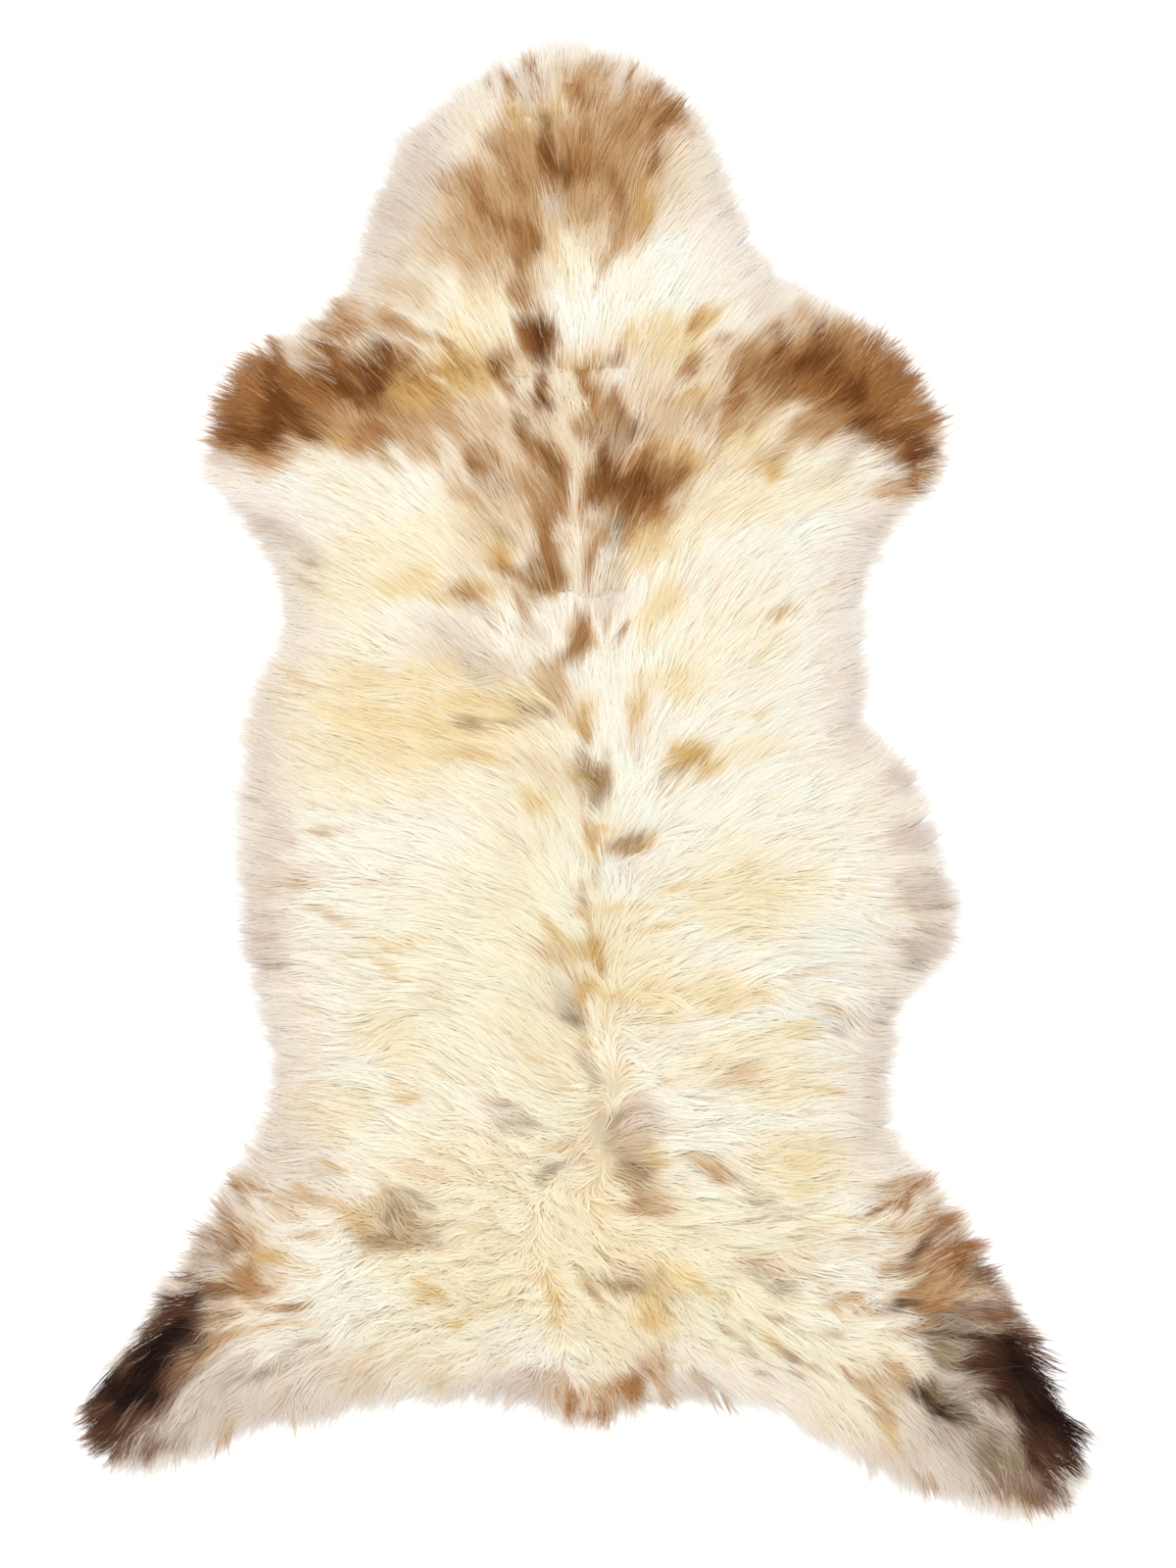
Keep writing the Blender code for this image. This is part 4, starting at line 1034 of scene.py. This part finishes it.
def filled(line, pitch, clearance):
    """Flat triangles that fill a closed line, with points about one pitch apart."""
    keep = [0]
    for i in range(1, len(line)):
        if np.hypot(*(line[i] - line[keep[-1]])) > pitch * 0.8:
            keep.append(i)
    rim = line[keep]
    x, y = honeycomb(pitch)
    deep = inward_distance(x, y, rim) > clearance
    points = [Vector(point) for point in rim]
    points += [Vector(point) for point in zip(x[deep], y[deep])]
    loop = list(range(len(rim)))
    flat, _, triangles, _, _, _ = geometry.delaunay_2d_cdt(points, [], [loop], 1, 1e-7)
    return [(point.x, point.y) for point in flat], triangles


def new_material(name):
    """A new material with its nodes, its links and its main shader."""
    material = bpy.data.materials.new(name)
    material.use_nodes = True
    nodes = material.node_tree.nodes
    return material, nodes, material.node_tree.links, nodes["Principled BSDF"]


def set_inputs(node, values):
    for name, value in values.items():
        node.inputs[name].default_value = value


def wool_material(name):
    """Soft wool: the strands' own colours with fine mottling, partly let through by light."""
    material, nodes, links, shader = new_material(name)
    tint = nodes.new("ShaderNodeAttribute")
    tint.attribute_name = "wool tint"
    place = nodes.new("ShaderNodeTexCoord")
    mottle = nodes.new("ShaderNodeTexNoise")
    set_inputs(mottle, {"Scale": 900, "Detail": 1})
    links.new(place.outputs["Object"], mottle.inputs["Vector"])
    level = nodes.new("ShaderNodeMapRange")
    set_inputs(level, {"From Min": 0.25, "From Max": 0.75, "To Min": 0.95, "To Max": 1.03})
    links.new(mottle.outputs["Fac"], level.inputs["Value"])
    shade = nodes.new("ShaderNodeVectorMath")
    shade.operation = "SCALE"
    links.new(tint.outputs["Color"], shade.inputs[0])
    links.new(level.outputs["Result"], shade.inputs["Scale"])
    links.new(shade.outputs["Vector"], shader.inputs["Base Color"])
    set_inputs(shader, {"Roughness": 0.62, "Specular IOR Level": 0.08})
    glow = nodes.new("ShaderNodeBsdfTranslucent")
    links.new(shade.outputs["Vector"], glow.inputs["Color"])
    mix = nodes.new("ShaderNodeMixShader")
    set_inputs(mix, {"Fac": 0.4})
    links.new(shader.outputs["BSDF"], mix.inputs[1])
    links.new(glow.outputs["BSDF"], mix.inputs[2])
    links.new(mix.outputs["Shader"], nodes["Material Output"].inputs["Surface"])
    return material


def skin_material():
    """The flesh side: pale tan suede with a soft, cloudy nap."""
    material, nodes, links, shader = new_material("suede")
    place = nodes.new("ShaderNodeTexCoord")
    cloud = nodes.new("ShaderNodeTexNoise")
    set_inputs(cloud, {"Scale": 14, "Detail": 6})
    links.new(place.outputs["Object"], cloud.inputs["Vector"])
    ramp = nodes.new("ShaderNodeValToRGB")
    low, high = ramp.color_ramp.elements
    low.position = 0.3
    low.color = (0.50, 0.36, 0.22, 1)
    high.position = 0.72
    high.color = (0.68, 0.54, 0.38, 1)
    links.new(cloud.outputs["Fac"], ramp.inputs["Fac"])
    links.new(ramp.outputs["Color"], shader.inputs["Base Color"])
    set_inputs(shader, {"Roughness": 0.85, "Specular IOR Level": 0.2})
    nap = nodes.new("ShaderNodeTexNoise")
    set_inputs(nap, {"Scale": 900, "Detail": 3})
    links.new(place.outputs["Object"], nap.inputs["Vector"])
    bump = nodes.new("ShaderNodeBump")
    set_inputs(bump, {"Strength": 0.35, "Distance": 0.0006})
    links.new(nap.outputs["Fac"], bump.inputs["Height"])
    links.new(bump.outputs["Normal"], shader.inputs["Normal"])
    return material


def add_piece(name, mesh, material):
    mesh.materials.append(material)
    piece = bpy.data.objects.new(name, mesh)
    bpy.context.scene.collection.objects.link(piece)
    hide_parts(NODE)
    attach(piece, BODY)
    return piece


def make_skin(fields):
    """The skin as a flat sheet, with its width and length and its area."""
    points, triangles = filled(fields.skin_line, SKIN_PITCH, SKIN_PITCH / 2)
    count = len(points)
    mesh = sheet_mesh("skin", points, triangles, [SKIN_THICKNESS] * count, [0] * count)
    area = 0
    for a, b, c in triangles:
        (ax, ay), (bx, by), (cx, cy) = points[a], points[b], points[c]
        area += abs((bx - ax) * (cy - ay) - (cx - ax) * (by - ay)) / 2
    add_flat_map(mesh)
    width = max(x for x, y in points) - min(x for x, y in points)
    length = max(y for x, y in points) - min(y for x, y in points)
    return add_piece("skin", mesh, skin_material()), (width, length), area


def make_underwool(fields):
    """The dense short wool that closes the gaps between the strands."""
    line = fields.skin_line * UNDERWOOL_SCALE
    points, triangles = filled(line, UNDERWOOL_PITCH, 0.0042)
    x, y = np.array(points).T
    deep = fields.read(fields.in_skin, x, y)
    top = fields.read(fields.height, x, y)
    depth = UNDERWOOL_DEPTH * (1 + 0.9 * tousled_at(y))
    top = top - depth * smooth_step(deep / FULL_WOOL)
    top += UNDERWOOL_LUMP * lattice_noise(x, y, UNDERWOOL_LUMP_SIZE, 41)
    rim = smooth_step(deep / UNDERWOOL_RIM)
    least = SKIN_THICKNESS + UNDERWOOL_LEAST
    top = np.maximum(least * (1 - rim) + top * rim, least)
    bottom = np.full(len(x), SKIN_THICKNESS)
    mesh = sheet_mesh("underwool", points, triangles, top.tolist(), bottom.tolist())
    for face in mesh.polygons:
        face.use_smooth = True
    shade = wool_colour(x, y, np.full(len(x), 0.5))
    pale = pale_share(shade.mean(axis=1))
    # The underwool is darkened and warmed: painted shade deep in the fleece, with the inner wool's
    # own tint.
    shade = shade * (np.array(UNDER_SHADE_PALE) * pale + np.array(UNDER_SHADE_DARK) * (1 - pale))
    both = np.ones((2 * len(x), 4), np.float32)
    both[:, :3] = np.tile(shade, (2, 1))
    add_tint(mesh, both)
    add_flat_map(mesh)
    return add_piece("underwool", mesh, wool_material("underwool"))


def make_fleece(fields):
    """The long wool, as one piece for each part of the pelt."""
    points, width, roll, colour = grow_strands(fields)
    colours = strand_colours(points, colour, fields)
    order = np.argsort(points[:, 0, 1], kind="stable")
    material = wool_material("fleece")
    pieces = []
    for place, part in zip(PIECE_NAMES, np.array_split(order, len(PIECE_NAMES))):
        name = "fleece_" + place
        mesh = ribbon_mesh(name, points[part], width[part], roll[part], colours[part])
        pieces.append(add_piece(name, mesh, material))
    return pieces


def add_camera():
    """A camera straight above the pelt, with the neck at the top of the picture."""
    data = bpy.data.cameras.new("camera")
    data.sensor_fit = "AUTO"
    data.sensor_width = SENSOR_WIDTH
    data.lens = SENSOR_WIDTH * CAMERA_HEIGHT / (CHART_HEIGHT * UNIT * MM)
    data.clip_end = 50
    camera = bpy.data.objects.new("camera", data)
    bpy.context.scene.collection.objects.link(camera)
    x, y = on_chart(CHART_WIDTH / 2, CHART_HEIGHT / 2)
    camera.location = (x, y, CAMERA_HEIGHT)
    camera.rotation_euler = (0, 0, 0)
    bpy.context.scene.camera = camera


def add_light():
    """A bright even surround, and a broad soft light high over the pelt."""
    world = bpy.data.worlds.new("surround")
    world.use_nodes = True
    back = world.node_tree.nodes["Background"]
    set_inputs(back, {"Color": (1.0, 0.995, 0.985, 1), "Strength": 0.80})
    bpy.context.scene.world = world
    data = bpy.data.lights.new("key", "AREA")
    data.shape = "RECTANGLE"
    data.size = LIGHT_SIDE
    data.size_y = LIGHT_SIDE
    data.energy = 122
    key = bpy.data.objects.new("key", data)
    bpy.context.scene.collection.objects.link(key)
    key.location = (-0.3, 0.9, 4.4)
    key.rotation_euler = (Vector((0, 0, 0)) - key.location).to_track_quat("-Z", "Y").to_euler()


def add_floor():
    """A white floor for the rug to lie on in the picture."""
    mesh = bpy.data.meshes.new("floor")
    corners = [(x * FLOOR_HALF, y * FLOOR_HALF, 0) for x, y in ((-1, -1), (1, -1), (1, 1), (-1, 1))]
    mesh.from_pydata(corners, [], [(0, 1, 2, 3)])
    material, _, _, shader = new_material("floor")
    white = {"Base Color": (0.96, 0.96, 0.96, 1), "Roughness": 0.9, "Specular IOR Level": 0.1}
    set_inputs(shader, white)
    mesh.materials.append(material)
    floor = bpy.data.objects.new("floor", mesh)
    floor.location = (0, 0, -0.0002)
    bpy.context.scene.collection.objects.link(floor)


bpy.context.scene.view_settings.view_transform = "Standard"
fields = Fields(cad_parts[NODE])
skin, flat, area = make_skin(fields)
underwool = make_underwool(fields)
fleece = make_fleece(fields)
add_camera()
add_light()
add_floor()
